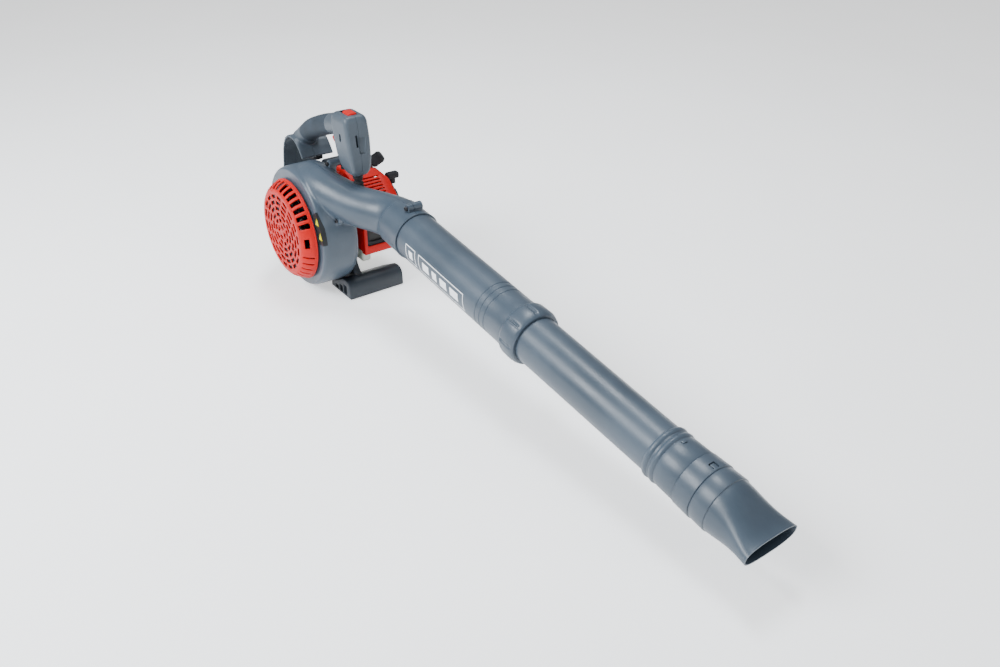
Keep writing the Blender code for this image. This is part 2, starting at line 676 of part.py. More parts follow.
def fuel_tank():
    body = block("fuel_tank", TANK_LOW, TANK_HIGH, 7, segments=3)
    join(body, block("nose", NOSE_LOW, NOSE_HIGH, 5, segments=2))
    rim = TANK_HIGH.y
    join(body, rod("neck", (FILLER_X, rim - 8, FILLER_Z), (FILLER_X, rim + 8, FILLER_Z), 10, sides=24))
    inset = Vector((2.4, 2.4, 2.4))
    cut(body, block("fuel_room", TANK_LOW + inset, TANK_HIGH - inset, 5, segments=2))
    cut(body, block("nose_room", NOSE_LOW + inset, NOSE_HIGH - inset, 3, segments=1))
    cut(body, rod("mouth", (FILLER_X, rim - 12, FILLER_Z), (FILLER_X, rim + 12, FILLER_Z), 7.8,
                  sides=24))
    finish(body, "tank_plastic")
    cap = axis_frame((FILLER_X, rim, FILLER_Z), LEFT, UP)
    profile = [(7.4, 2), (7.4, 8.4), (10.4, 8.4), (10.4, 1.0), (13.5, 1.0), (13.5, 11.5), (12, 13)]
    turned("fuel_cap", profile, cap, "black_rubber", sides=20)


# ---------------------------------------------------------------- recoil starter
STARTER_OUTER = [(52, 64), (52, 74), (48, 82), (38, 86), (24, 87), (1e-4, 87)]


def starter():
    inner = [(max(r - 2.6, 1e-4), h if i == 0 else h - 2.4 * min(1, i / 2)) for i, (r, h) in
             enumerate(STARTER_OUTER)]

    def is_open(row, column):
        return row == 3 and column % 3 != 0

    housing = lattice("starter_housing", STARTER_OUTER, inner, 30, is_open, CRANK, "dark_plastic")
    join(housing, turned("post", [(4.6, 76.5), (4.6, 85.5)], CRANK, sides=16))
    cut(housing, rod("clear", (ROPE_X, ROPE_Y, CRANK_Z + 32), (ROPE_X, ROPE_Y, CRANK_Z + 80), 6.3, sides=16))
    finish(housing, "dark_plastic")
    pulley = [(5.0, 76.5), (24, 76.5), (24, 77.5), (PULLEY_RADIUS, 77.8), (PULLEY_RADIUS, 80.2), (24, 80.5),
              (24, 81.5), (5.0, 81.5)]
    turned("starter_pulley", pulley, CRANK, "dark_plastic", sides=24, hollow=True)
    flywheel = [(8.3, 63), (30, 63), (46, 65.5), (46, 70.5), (30, 72), (14, 73.5), (8.3, 73.5)]
    turned("flywheel", flywheel, CRANK, "aluminium", sides=28, hollow=True)


def starter_grip():
    z = CRANK_Z + 49
    body = rod("starter_grip", (ROPE_X, ROPE_Y, z), (ROPE_X, ROPE_Y, z + 12), 5.6, sides=16)
    join(body, block("bar", (ROPE_X - 7, ROPE_Y - 12, z + 8), (ROPE_X + 7, ROPE_Y + 12, z + 20), 4))
    return finish(body, "black_rubber")


# ---------------------------------------------------------------- stand
STAND_HALF_X = 35.5
STAND_LOW_Y, STAND_HIGH_Y = -54.0, 52.0
STAND_TOP_Z, STAND_REAR_Z = 33.0, 9.0


def stand():
    outline = [(-STAND_HALF_X, 0), (STAND_HALF_X, 0), (STAND_HALF_X - 1, STAND_TOP_Z - 13),
               (STAND_HALF_X - 6, STAND_TOP_Z - 3), (STAND_HALF_X - 15, STAND_TOP_Z),
               (STAND_HALF_X - 24, STAND_TOP_Z), (-STAND_HALF_X, STAND_REAR_Z)]
    bar = extruded("stand", outline, STAND_LOW_Y, STAND_HIGH_Y)
    web = [(-195, 0), (30, 0), (29, 30), (16, 34), (6, 41), (0, 52), (-4, 64), (-6, 76), (-60, 81),
           (-150, 81), (-195, 60)]
    join(bar, extruded("web", web, -30.3, -18))
    join(bar, block("rear_foot", (-195, -54, 0), (-158, 30, 20), 3))
    cut(bar, drum_clearance())
    pocket = rounded_outline((-6, 5), (STAND_HALF_X - 8, 20), 2, 2)
    cut(bar, extruded("end_pocket", pocket, STAND_LOW_Y - 5, STAND_LOW_Y + 14))
    window = rounded_outline((-140, 24), (-62, 66), 12, 4)
    cut(bar, extruded("web_window", window, -40, -10))
    return finish(bar, "dark_plastic")


# ---------------------------------------------------------------- handle
HANDLE_Y = -25.0
GRIP_ROUTE = [(-150, HANDLE_Y, 230), (-137, HANDLE_Y, 243), (-114, HANDLE_Y, 259),
              (-82, HANDLE_Y, 273), (-44, HANDLE_Y, 287), (-2, HANDLE_Y, 299), (24, HANDLE_Y, 304)]
LEG_SECTIONS = [(225, 30, 46, 7), (228, 24, 52, 12), (236, 16, 57, 16.5), (254, 8, 58, 19.5),
                (285, 1, 55, 21), (305, -2, 51, 21), (316, 1, 46, 19), (321, 5, 39, 15.5),
                (323, 10, 33, 11)]
SADDLE = [(-205, 120), (-199, 178), (-190, 213), (-178, 231), (-160, 239.5), (-142, 238),
          (-126, 228), (-113, 210)]
SADDLE_THICK = 4.0


def offset_open(points, distance):
    """An open outline moved sideways by a distance."""
    moved = []
    for i, (a, b) in enumerate(points):
        p, n = points[max(i - 1, 0)], points[min(i + 1, len(points) - 1)]
        dx, dz = n[0] - p[0], n[1] - p[1]
        size = math.hypot(dx, dz)
        moved.append((a + distance * dz / size, b - distance * dx / size))
    return moved


def leg_rings():
    rings = []
    for z, back, front, half in LEG_SECTIONS:
        radius = min(half, (front - back) / 2) * 0.55
        outline = rounded_outline((back, HANDLE_Y - half), (front, HANDLE_Y + half), radius, 3)
        rings.append([Vector((a, b, z)) for a, b in outline])
    return rings


TRIGGER_PIVOT = Vector((4, HANDLE_Y, 280))


def trigger_room():
    low, high = TRIGGER_PIVOT + Vector((-34, -7.5, -32)), TRIGGER_PIVOT + Vector((7.5, 7.5, 9.5))
    return block("trigger_room", low, high)


def handle():
    path = smooth_path(GRIP_ROUTE, 15)
    core = loft("handle", swept_rings(path, [14.2] * 15, 14))
    root = loft("root", swept_rings(path[:4], [21, 19.5, 18.4, 17.6], 16))
    join(core, root)
    front = loft("front", swept_rings(path[10:], [17.4] * 5, 16))
    join(core, front)
    join(core, loft("leg", leg_rings()))
    inside = offset_open(SADDLE, SADDLE_THICK)
    saddle = extruded("saddle", SADDLE + inside[::-1], -50, 10)
    join(core, saddle)
    cut(core, extruded("under_saddle", [*inside, (-113, 120)], -60, 20))
    cut(core, drum_clearance())
    cut(core, trigger_room())
    cut(core, block("switch_room", (9, HANDLE_Y - 8.4, 312), (38.6, HANDLE_Y + 8.4, 335)))
    way = LEFT * 15
    cut(core, rod("pivot_way", TRIGGER_PIVOT - way, TRIGGER_PIVOT + way, 2.3, sides=16))
    other = copy_of(core, "handle_left_half")
    core.name = "handle_right_half"
    cut(core, half_space("far", 1, HANDLE_Y - GAP / 2))
    cut(other, half_space("near", -1, HANDLE_Y + GAP / 2))
    finish(core, "grey_plastic")
    finish(other, "grey_plastic")


def grip_sleeve():
    path = smooth_path(GRIP_ROUTE, 15)[3:11]
    path[0] = path[0] + (path[1] - path[0]) * 0.08
    path[-1] = path[-1] - (path[-1] - path[-2]) * 0.08
    count = len(path)
    body = loft("grip_sleeve", swept_rings(path, [17.0] * count, 18))
    bore = smooth_path(GRIP_ROUTE, 15)[2:12]
    cut(body, loft("core_way", swept_rings(bore, [14.6] * len(bore), 14)))
    cut(body, loft("root", swept_rings(smooth_path(GRIP_ROUTE, 15)[:4], [21.3, 19.8, 18.7, 17.9], 16)))
    cut(body, trigger_room())
    return finish(body, "grip_rubber")


def trigger():
    outline = [(-4, 3), (-3, -4), (-5, -14), (-11, -19), (-19, -18), (-27, -13), (-31, -9), (-28, -6),
               (-18, -4), (-10, 3)]
    body = extruded("trigger", outline, -6.8, 6.8)
    join(body, rod("hub", (0, -6.8, 0), (0, 6.8, 0), 5.2, sides=16))
    cut(body, rod("pin_way", (0, -10, 0), (0, 10, 0), 2.3, sides=16))
    body.location = TRIGGER_PIVOT * MM
    finish(body, "red_plastic")
    rod("trigger_pin", TRIGGER_PIVOT + LEFT * -14, TRIGGER_PIVOT + LEFT * 14, 2.0, "steel", 12)


def stop_switch():
    body = block("stop_switch", (16, HANDLE_Y - 8, 312.4), (38.2, HANDLE_Y + 8, 326.5), 3, segments=3)
    return finish(body, "red_plastic")


def rubber_mounts():
    spool = [(8.5, 0), (8.5, 9), (6.5, 11), (6.5, 14), (8.5, 16), (8.5, 21.4)]
    front = turned("front_mount", spool, axis_frame((38, HANDLE_Y + 1, 203), UP, FORWARD), sides=20)
    cut(front, duct("clear", -0.4))
    finish(front, "black_rubber")
    tall = [(11, 0), (11, 8), (8, 12), (8, 28), (11, 32), (11, 40)]
    turned("rear_mount", tall, axis_frame((-154, -4, 190.6), UP, FORWARD), "black_rubber", 20)
    turned("rubber_buffer", [(7, 0), (7, 18), (8.5, 21), (8.5, 27), (6, 30)],
           axis_frame((-50, -2, COVER_TOP + GAP), UP, FORWARD), "black_rubber", 20)


# ---------------------------------------------------------------- blower tubes
def upper_tube():
    r, w = TUBE_RADIUS, TUBE_WALL
    outside = [(SLEEVE_BORE - GAP, 38), (SLEEVE_BORE - GAP, SLEEVE_TO + GAP), (r, SLEEVE_TO + GAP)]
    outside += [(r, 371.5)]
    inside = [(r - w, 371.5), (r - w, 100), (SLEEVE_BORE - GAP - 2, 92), (SLEEVE_BORE - GAP - 2, 38)]
    return turned("upper_tube", outside + inside, TUBE, "grey_plastic", TUBE_SIDES, hollow=True)


COLLAR_FROM, COLLAR_TO = 354.7, 386.6


def collar_nut():
    outside = [(39.6, COLLAR_FROM), (41.6, COLLAR_FROM + 2), (41.6, COLLAR_TO - 3), (39.2, COLLAR_TO)]
    inside = [(35.5, COLLAR_TO), (35.5, 376.6), (37.9, 376.6), (37.9, COLLAR_FROM)]
    body = turned("collar_nut", outside + inside, TUBE, sides=32, hollow=True)
    mesh = bmesh.new()
    for k in range(8):
        turn = 2 * math.pi * (k + 0.5) / 8
        spin = Matrix.Rotation(turn, 4, "Z") @ Matrix.Translation((41.6, 0, 370.5))
        bmesh.ops.create_cube(mesh, size=1.0, matrix=spin @ Matrix.Diagonal((2.2, 3.0, 22.0, 1.0)))
    join(body, to_object("ribs", mesh, TUBE))
    finish(body, "grey_plastic")
    seal = [(35.4, 372), (37.4, 372), (37.4, 376), (35.4, 376)]
    turned("seal_ring", seal, TUBE, "black_rubber", TUBE_SIDES, hollow=True)


CUFF_FROM = 685.3


def lower_tube():
    a, b, w = SECOND_TUBE_RADIUS, TUBE_END_RADIUS, 2.0
    outside = [(a, 352), (a, 388), (b + 0.3, 632), (b + 3.2, 636), (b + 1.2, 641), (b + 3.2, 646),
               (b + 2.6, 654), (b + 3.0, 685), (b + 0.6, 685), (b + 0.6, 708)]
    inside = [(b + 0.6 - w, 708), (b - w, 626), (a - w, 388), (a - w, 352)]
    return turned("lower_tube", outside + inside, TUBE, "grey_plastic", TUBE_SIDES, hollow=True)


MOUTH_AT, MOUTH_HALF_WIDTH, MOUTH_HALF_HEIGHT = 799.5, 43.0, 14.5


def nozzle_ring(s, width, height, power):
    ring = []
    for k in range(TUBE_SIDES):
        angle = 2 * math.pi * k / TUBE_SIDES
        c, n = math.cos(angle), math.sin(angle)
        ring.append(Vector((height * abs(c) ** power * (1 if c >= 0 else -1),
                            width * abs(n) ** power * (1 if n >= 0 else -1), s)))
    return ring


def nozzle():
    """Round at its cuff, flat at its mouth. Local X is up and local Y across."""
    outside = [nozzle_ring(CUFF_FROM, 37.2, 37.2, 1), nozzle_ring(711, 38.2, 38.2, 1),
               nozzle_ring(734, 38.0, 37.4, 1), nozzle_ring(744, 36.8, 34.6, 0.99)]
    steps = 5
    for k in range(1, steps + 1):
        t = k / steps
        ease = t * t * (3 - 2 * t)
        width = 36.8 + (MOUTH_HALF_WIDTH - 36.8) * t ** 1.6 - 1.4 * math.sin(math.pi * t)
        height = 34.6 + (MOUTH_HALF_HEIGHT - 34.6) * ease
        outside.append(nozzle_ring(744 + (MOUTH_AT - 744) * t, width, height, 1 - 0.22 * ease))
    inner_cuff = TUBE_END_RADIUS + 0.9
    inside = [nozzle_ring(MOUTH_AT, MOUTH_HALF_WIDTH - 1.8, MOUTH_HALF_HEIGHT - 1.8, 0.78)]
    for k in range(steps - 1, 0, -1):
        t = k / steps
        ease = t * t * (3 - 2 * t)
        width = 34.8 + (MOUTH_HALF_WIDTH - 1.8 - 34.8) * t ** 1.6 - 1.4 * math.sin(math.pi * t)
        height = 32.6 + (MOUTH_HALF_HEIGHT - 1.8 - 32.6) * ease
        inside.append(nozzle_ring(744 + (MOUTH_AT - 744) * t, width, height, 1 - 0.22 * ease))
    inside += [nozzle_ring(744, inner_cuff, 32.6, 1), nozzle_ring(710, inner_cuff, inner_cuff, 1),
               nozzle_ring(CUFF_FROM, inner_cuff, inner_cuff, 1)]
    return loft("nozzle", outside + inside, closed=True, frame=TUBE, slot="grey_plastic")


# ---------------------------------------------------------------- assembly
def clear_scene():
    for leftover in list(bpy.data.objects):
        bpy.data.objects.remove(leftover)


def main():
    clear_scene()
    volute_halves()
    intake_grille()
    impeller()
    crankshaft()
    nut("fan_nut", -95.3, 7, 6.3, 10)
    bearing("front_bearing", CYLINDER_Y - 24)
    bearing("rear_bearing", CYLINDER_Y + 16)
    crankcases()
    cylinder()
    piston()
    plug_and_boot()
    muffler()
    engine_cover()
    carburettor_side()
    fuel_tank()
    starter()
    starter_grip()
    stand()
    handle()
    grip_sleeve()
    trigger()
    stop_switch()
    rubber_mounts()
    upper_tube()
    collar_nut()
    lower_tube()
    nozzle()
    for k, (x, y, z) in enumerate(volute_bosses()):
        screw(f"volute_screw_{k + 1}", x, z, y - 3.5, 20)
    screw("clamp_screw", CLAMP_X, CLAMP_Z, -12.5, 20)


main()
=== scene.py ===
"""The looks of the hand-held petrol leaf blower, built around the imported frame.

Shapes are worked out in millimetres in the frame's own axes (+X along the tube, +Y to the engine
side, +Z up), and piece() turns them into metres.
"""

import json
import math

import bmesh
import bpy
from mathutils import Matrix, Vector


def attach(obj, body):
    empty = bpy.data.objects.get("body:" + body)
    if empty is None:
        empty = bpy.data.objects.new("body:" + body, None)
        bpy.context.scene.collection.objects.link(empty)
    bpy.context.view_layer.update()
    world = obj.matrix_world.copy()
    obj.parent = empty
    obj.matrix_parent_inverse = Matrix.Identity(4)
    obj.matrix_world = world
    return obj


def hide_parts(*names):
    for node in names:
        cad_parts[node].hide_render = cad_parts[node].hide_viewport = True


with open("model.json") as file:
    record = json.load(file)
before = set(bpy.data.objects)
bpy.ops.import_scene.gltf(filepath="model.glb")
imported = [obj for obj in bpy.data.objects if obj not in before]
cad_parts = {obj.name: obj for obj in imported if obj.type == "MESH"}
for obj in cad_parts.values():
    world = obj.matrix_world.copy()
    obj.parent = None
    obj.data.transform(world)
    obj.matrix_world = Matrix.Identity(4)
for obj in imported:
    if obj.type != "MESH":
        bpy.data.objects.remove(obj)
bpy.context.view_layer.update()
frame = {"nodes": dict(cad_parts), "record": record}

MM = 0.001
UP, FORWARD, LEFT = Vector((0, 0, 1)), Vector((1, 0, 0)), Vector((0, 1, 0))
WORLD = Matrix.Identity(4)
SHARP = math.radians(35)

CRANK_X, CRANK_Z = -55.0, 115.0
TUBE_START = Vector((92.0, 0.0, 172.0))
TUBE_SLOPE = math.radians(7.4)
TUBE_RADIUS = 37.5
HANDLE_Y = -25.0
PARTING_Y = -62.0                      # where the fan drum's halves meet
SEAM_START, SEAM_END, SEAM_REACH = -400.0, 1000.0, 400.0
SEAM_HEIGHTS = (-50.0, 400.0)          # seams and their blocks reach well past the whole machine
TINY = 1e-4                            # stands for a radius of nothing, so that a ring stays a ring


# ---------------------------------------------------------------- frames and mesh helpers
def axis_frame(origin, direction, up):
    """A frame at origin (mm) with local Z along direction and local X near up."""
    z = Vector(direction).normalized()
    x = (Vector(up) - z * z.dot(Vector(up))).normalized()
    rotation = Matrix((x, z.cross(x), z)).transposed().to_4x4()
    return Matrix.Translation(Vector(origin) * MM) @ rotation


TUBE_DIRECTION = Vector((math.cos(TUBE_SLOPE), 0.0, -math.sin(TUBE_SLOPE)))
TUBE = axis_frame(TUBE_START, TUBE_DIRECTION, UP)
CRANK = axis_frame((CRANK_X, 0, CRANK_Z), LEFT, FORWARD)


def to_object(name, mesh, place=WORLD):
    """An object from a bmesh in millimetres, with its place baked into the mesh."""
    bmesh.ops.scale(mesh, vec=(MM, MM, MM), verts=mesh.verts)
    bmesh.ops.remove_doubles(mesh, verts=mesh.verts, dist=1e-6)
    bmesh.ops.recalc_face_normals(mesh, faces=mesh.faces)
    bmesh.ops.transform(mesh, matrix=place, verts=mesh.verts)
    data = bpy.data.meshes.new(name)
    mesh.to_mesh(data)
    mesh.free()
    made = bpy.data.objects.new(name, data)
    bpy.context.scene.collection.objects.link(made)
    return made


def loft(name, rings, closed=False, place=WORLD):
    """A skin through rings of equal count, capped at both ends or closed into a loop."""
    mesh = bmesh.new()
    loops = [[mesh.verts.new(point) for point in ring] for ring in rings]
    pairs = list(zip(loops, loops[1:]))
    if closed:
        pairs.append((loops[-1], loops[0]))
    for lower, upper in pairs:
        for i, corner in enumerate(lower):
            j = (i + 1) % len(lower)
            mesh.faces.new((corner, lower[j], upper[j], upper[i]))
    if not closed:
        mesh.faces.new(list(reversed(loops[0])))
        mesh.faces.new(loops[-1])
    return to_object(name, mesh, place)


def circle(radius, height, sides):
    step = 2 * math.pi / sides
    return [Vector((radius * math.cos(i * step), radius * math.sin(i * step), height))
            for i in range(sides)]


def turned(name, profile, place, sides=96, hollow=False):
    rings = [circle(max(radius, TINY), height, sides) for radius, height in profile]
    return loft(name, rings, hollow, place)


def rod(name, start, end, radius, sides=32):
    start, end = Vector(start), Vector(end)
    direction = end - start
    up = FORWARD if abs(direction.normalized().x) < 0.9 else UP
    return turned(name, [(radius, 0), (radius, direction.length)], axis_frame(start, direction, up),
                  sides)


def extruded(name, outline, low, high, axis="Y"):
    """A flat outline drawn out along an axis, from low to high."""
    place = {
        "X": lambda a, b, h: Vector((h, a, b)),
        "Y": lambda a, b, h: Vector((a, h, b)),
        "Z": lambda a, b, h: Vector((a, b, h)),
    }[axis]
    return loft(name, [[place(a, b, height) for a, b in outline] for height in (low, high)])


def block(name, low, high, bevel=0.0, segments=3, place=WORLD):
    mesh = bmesh.new()
    bmesh.ops.create_cube(mesh, size=1.0)
    low, high = Vector(low), Vector(high)
    bmesh.ops.scale(mesh, vec=high - low, verts=mesh.verts)
    bmesh.ops.translate(mesh, vec=(low + high) / 2, verts=mesh.verts)
    if bevel:
        bmesh.ops.bevel(mesh, geom=mesh.edges, offset=bevel, segments=segments, profile=0.5,
                        affect="EDGES", clamp_overlap=True)
    return to_object(name, mesh, place)


def rounded_outline(low, high, radius, steps=6):
    points = []
    centres = ((high[0] - radius, high[1] - radius, 0), (low[0] + radius, high[1] - radius, 1),
               (low[0] + radius, low[1] + radius, 2), (high[0] - radius, low[1] + radius, 3))
    for a, b, quarter in centres:
        for k in range(steps + 1):
            angle = (quarter + k / steps) * math.pi / 2
            points.append((a + radius * math.cos(angle), b + radius * math.sin(angle)))
    return points


def smooth_path(points, count):
    """count points along a Catmull-Rom curve through the given points."""
    points = [Vector(p) for p in points]
    ends = [2 * points[0] - points[1], *points, 2 * points[-1] - points[-2]]
    made = []
    for k in range(count):
        u = k * (len(points) - 1) / (count - 1)
        i = min(int(u), len(points) - 2)
        t = u - i
        a, b, c, d = ends[i:i + 4]
        made.append(0.5 * (2 * b + (c - a) * t + (2 * a - 5 * b + 4 * c - d) * t * t
                           + (3 * b - a - 3 * c + d) * t ** 3))
    return made


def swept_rings(path, radii, sides, squash=1.0):
    """Rings square to a path whose first points lie to the +Y side."""
    rings = []
    for i, centre in enumerate(path):
        tangent = (path[min(i + 1, len(path) - 1)] - path[max(i - 1, 0)]).normalized()
        x = (LEFT - tangent * tangent.dot(LEFT)).normalized()
        y = tangent.cross(x)
        rings.append([centre + radii[i] * (x * math.cos(a) + squash * y * math.sin(a))
                      for a in (2 * math.pi * k / sides for k in range(sides))])
    return rings


def ease(t):
    t = max(0.0, min(1.0, t))
    return t * t * (3 - 2 * t)


def apply_modifiers(target):
    graph = bpy.context.evaluated_depsgraph_get()
    made = bpy.data.meshes.new_from_object(target.evaluated_get(graph))
    target.modifiers.clear()
    target.data = made
    return target


def combine(target, other, operation):
    modifier = target.modifiers.new(operation, "BOOLEAN")
    modifier.operation = operation
    modifier.object = other
    modifier.solver = "EXACT"
    apply_modifiers(target)
    bpy.data.objects.remove(other)
    return target


def join(target, *others):
    for other in others:
        combine(target, other, "UNION")
    return target


def cut(target, *others):
    for other in others:
        combine(target, other, "DIFFERENCE")
    return target


def copy_of(source, name):
    made = source.copy()
    made.data = source.data.copy()
    made.name = name
    bpy.context.scene.collection.objects.link(made)
    return made


def melted(target, voxel, rounds):
    """Remeshes a union into one skin and smooths it, which rounds its inner corners."""
    remesh = target.modifiers.new("remesh", "REMESH")
    remesh.mode = "VOXEL"
    remesh.voxel_size = voxel * MM
    soften = target.modifiers.new("soften", "SMOOTH")
    soften.factor = 0.5
    soften.iterations = rounds
    return apply_modifiers(target)


def bevelled(target, width, segments=2, angle=35):
    bevel = target.modifiers.new("bevel", "BEVEL")
    bevel.width = width * MM
    bevel.segments = segments
    bevel.limit_method = "ANGLE"
    bevel.angle_limit = math.radians(angle)
    return apply_modifiers(target)


def shade(target, angle):
    target.data.shade_smooth()
    target.data.set_sharp_from_angle(angle=angle)
    return target


def piece(target, look, body, slot, *nodes, angle=SHARP):
    """Finishes an object: its material, the body it rides on and the nodes it stands for."""
    target.data.materials.clear()
    target.data.materials.append(look)
    shade(target, angle)
    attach(target, body)
    if nodes:
        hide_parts(*nodes)
    return target


def half_space(name, side, outline):
    """A big block on one side (+1 or -1) of a seam outline of (x, y)."""
    far = [(SEAM_END, side * SEAM_REACH), (SEAM_START, side * SEAM_REACH)]
    points = [*outline, *far]
    if side > 0:
        points.reverse()
    return extruded(name, points, *SEAM_HEIGHTS, axis="Z")


# ---------------------------------------------------------------- materials
class Look:
    """A node material with shorthand for adding and joining nodes."""

    def __init__(self, name):
        self.material = bpy.data.materials.new(name)
        self.material.use_nodes = True
        self.tree = self.material.node_tree
        self.shader = self.tree.nodes["Principled BSDF"]
        self.place = self.add("ShaderNodeTexCoord").outputs["Object"]

    def add(self, kind, **values):
        node = self.tree.nodes.new(kind)
        for key, value in values.items():
            if hasattr(node, key):
                setattr(node, key, value)
            else:
                node.inputs[key.replace("_", " ")].default_value = value
        return node

    def link(self, source, target):
        self.tree.links.new(source, target)

    def feed(self, source, socket):
        """Joins a node's output to one of the shader's sockets."""
        self.link(source, self.shader.inputs[socket])

    def noise(self, scale, detail=4.0, roughness=0.55, stretch=None):
        node = self.add("ShaderNodeTexNoise", Scale=scale, Detail=detail, Roughness=roughness)
        place = self.place
        if stretch:
            mapping = self.add("ShaderNodeMapping")
            mapping.inputs["Scale"].default_value = stretch
            self.link(self.place, mapping.inputs["Vector"])
            place = mapping.outputs["Vector"]
        self.link(place, node.inputs["Vector"])
        return node.outputs["Fac"]

    def ramp(self, source, stops):
        node = self.add("ShaderNodeValToRGB")
        elements = node.color_ramp.elements
        while len(elements) < len(stops):
            elements.new(0.5)
        for element, (at, colour) in zip(elements, stops):
            element.position = at
            element.color = (*colour, 1.0)
        self.link(source, node.inputs["Fac"])
        return node.outputs["Color"]

    def mix(self, factor, first, second):
        """Mixes two colours. Sockets 0, 6 and 7 are the mix node's factor and its two colours."""
        node = self.add("ShaderNodeMix", data_type="RGBA")
        for value, index in ((factor, 0), (first, 6), (second, 7)):
            socket = node.inputs[index]
            if isinstance(value, bpy.types.NodeSocket):
                self.link(value, socket)
            else:
                socket.default_value = value if isinstance(value, float) else (*value, 1.0)
        return node.outputs[2]

    def span(self, source, low, high, from_low=0.0, from_high=1.0):
        """Maps from_low..from_high to low..high."""
        node = self.add("ShaderNodeMapRange")
        limits = {"From Min": from_low, "From Max": from_high, "To Min": low, "To Max": high}
        for key, value in limits.items():
            node.inputs[key].default_value = value
        self.link(source, node.inputs["Value"])
        return node.outputs["Result"]

    def bump(self, layers):
        """Stacks (height, strength, distance in mm) layers into the shader's normal."""
        normal = None
        for height, strength, distance in layers:
            node = self.add("ShaderNodeBump", Strength=strength, Distance=distance * MM)
            self.link(height, node.inputs["Height"])
            if normal:
                self.link(normal, node.inputs["Normal"])
            normal = node.outputs["Normal"]
        self.feed(normal, "Normal")


def plastic(name, colour, roughness, grain=1.0, dust=0.25, wear=0.12, coat=0.0, gloss=0.5):
    """Moulded plastic: a fine spark-eroded grain, mould flow, dust and scuffs."""
    look = Look(name)
    shader = look.shader
    blotch = look.noise(9.0, 5.0)
    grains = look.noise(1900.0, 2.0)
    fine = look.noise(420.0, 3.0)
    scuff = look.noise(55.0, 6.0, 0.7, (1.0, 4.0, 1.0))
    darker = tuple(c * 0.86 for c in colour)
    lighter = tuple(min(1.0, c * 1.10 + 0.004) for c in colour)
    base = look.ramp(blotch, [(0.35, darker), (0.65, lighter)])
    dust_colour = tuple(0.80 * c + 0.03 for c in colour)
    dusty = look.mix(look.span(scuff, 0.0, dust, 0.56, 0.78), base, dust_colour)
    scratch = look.noise(30.0, 8.0, 0.8, (1.0, 1.0, 9.0))
    scratch_colour = tuple(min(1.0, c * 1.4 + 0.03) for c in colour)
    scratched = look.mix(look.span(scratch, 0.0, wear, 0.64, 0.76), dusty, scratch_colour)
    look.feed(scratched, "Base Color")
    rough = look.span(look.mix(0.5, blotch, scuff), roughness - 0.07, roughness + 0.12, 0.3, 0.7)
    look.feed(rough, "Roughness")
    shader.inputs["IOR"].default_value = 1.46
    shader.inputs["Specular IOR Level"].default_value = gloss
    if coat:
        shader.inputs["Coat Weight"].default_value = coat
        shader.inputs["Coat Roughness"].default_value = 0.25
    look.bump([(blotch, 0.10, 1.2), (fine, 0.10 * grain, 0.12), (grains, 0.22 * grain, 0.05)])
    return look.material


def rubber(name, colour, roughness=0.78):
    """Matt rubber: cloudy, with a fine pebbled grain."""
    look = Look(name)
    blotch = look.noise(40.0, 5.0)
    grains = look.noise(1300.0, 3.0)
    base = look.ramp(blotch, [(0.3, colour), (0.72, tuple(c * 1.5 + 0.004 for c in colour))])
    look.feed(base, "Base Color")
    look.feed(look.span(blotch, roughness - 0.1, roughness + 0.1), "Roughness")
    look.shader.inputs["Specular IOR Level"].default_value = 0.25
    look.bump([(blotch, 0.12, 0.4), (grains, 0.35, 0.08)])
    return look.material


def cast_metal(name, colour, roughness, metallic=1.0, stain=(0.05, 0.045, 0.04), amount=0.5):
    """Rough cast or blackened metal with darker stains."""
    look = Look(name)
    blotch = look.noise(28.0, 6.0, 0.65)
    grains = look.noise(900.0, 4.0)
    base = look.mix(look.span(blotch, 0.0, amount, 0.48, 0.72), colour, stain)
    look.feed(base, "Base Color")
    look.shader.inputs["Metallic"].default_value = metallic
    rough = look.span(blotch, roughness - 0.1, roughness + 0.2, 0.3, 0.75)
    look.feed(rough, "Roughness")
    look.bump([(grains, 0.35, 0.10), (blotch, 0.2, 0.4)])
    return look.material


def brushed_metal(name, colour, roughness):
    """Turned or ground steel with fine brush lines."""
    look = Look(name)
    brush = look.noise(260.0, 4.0, 0.6, (1.0, 14.0, 1.0))
    base = look.ramp(brush, [(0.3, tuple(c * 0.8 for c in colour)), (0.7, colour)])
    look.feed(base, "Base Color")
    look.shader.inputs["Metallic"].default_value = 1.0
    look.feed(look.span(brush, roughness - 0.08, roughness + 0.12), "Roughness")
    look.bump([(brush, 0.15, 0.05)])
    return look.material


def tank_plastic(name):
    """Blow-moulded tank: cloudy, with a little light scattered inside it."""
    look = Look(name)
    cloud = look.noise(16.0, 5.0)
    base = look.ramp(cloud, [(0.3, (0.40, 0.43, 0.36)), (0.7, (0.62, 0.65, 0.56))])
    look.feed(base, "Base Color")
    look.shader.inputs["Subsurface Weight"].default_value = 0.35
    look.shader.inputs["Subsurface Radius"].default_value = (0.01, 0.012, 0.008)
    look.feed(look.span(cloud, 0.32, 0.5), "Roughness")
    look.bump([(cloud, 0.15, 0.8), (look.noise(700.0, 2.0), 0.12, 0.08)])
    return look.material


def foam(name):
    """Open-celled filter foam."""
    look = Look(name)
    cells = look.add("ShaderNodeTexVoronoi", Scale=600.0)
    look.link(look.place, cells.inputs["Vector"])
    base = look.ramp(cells.outputs["Distance"], [(0.1, (0.16, 0.16, 0.15)), (0.7, (0.02, 0.02, 0.02))])
    look.feed(base, "Base Color")
    look.feed(look.span(cells.outputs["Distance"], 0.9, 1.0), "Roughness")
    look.bump([(cells.outputs["Distance"], 0.8, 0.8)])
    return look.material


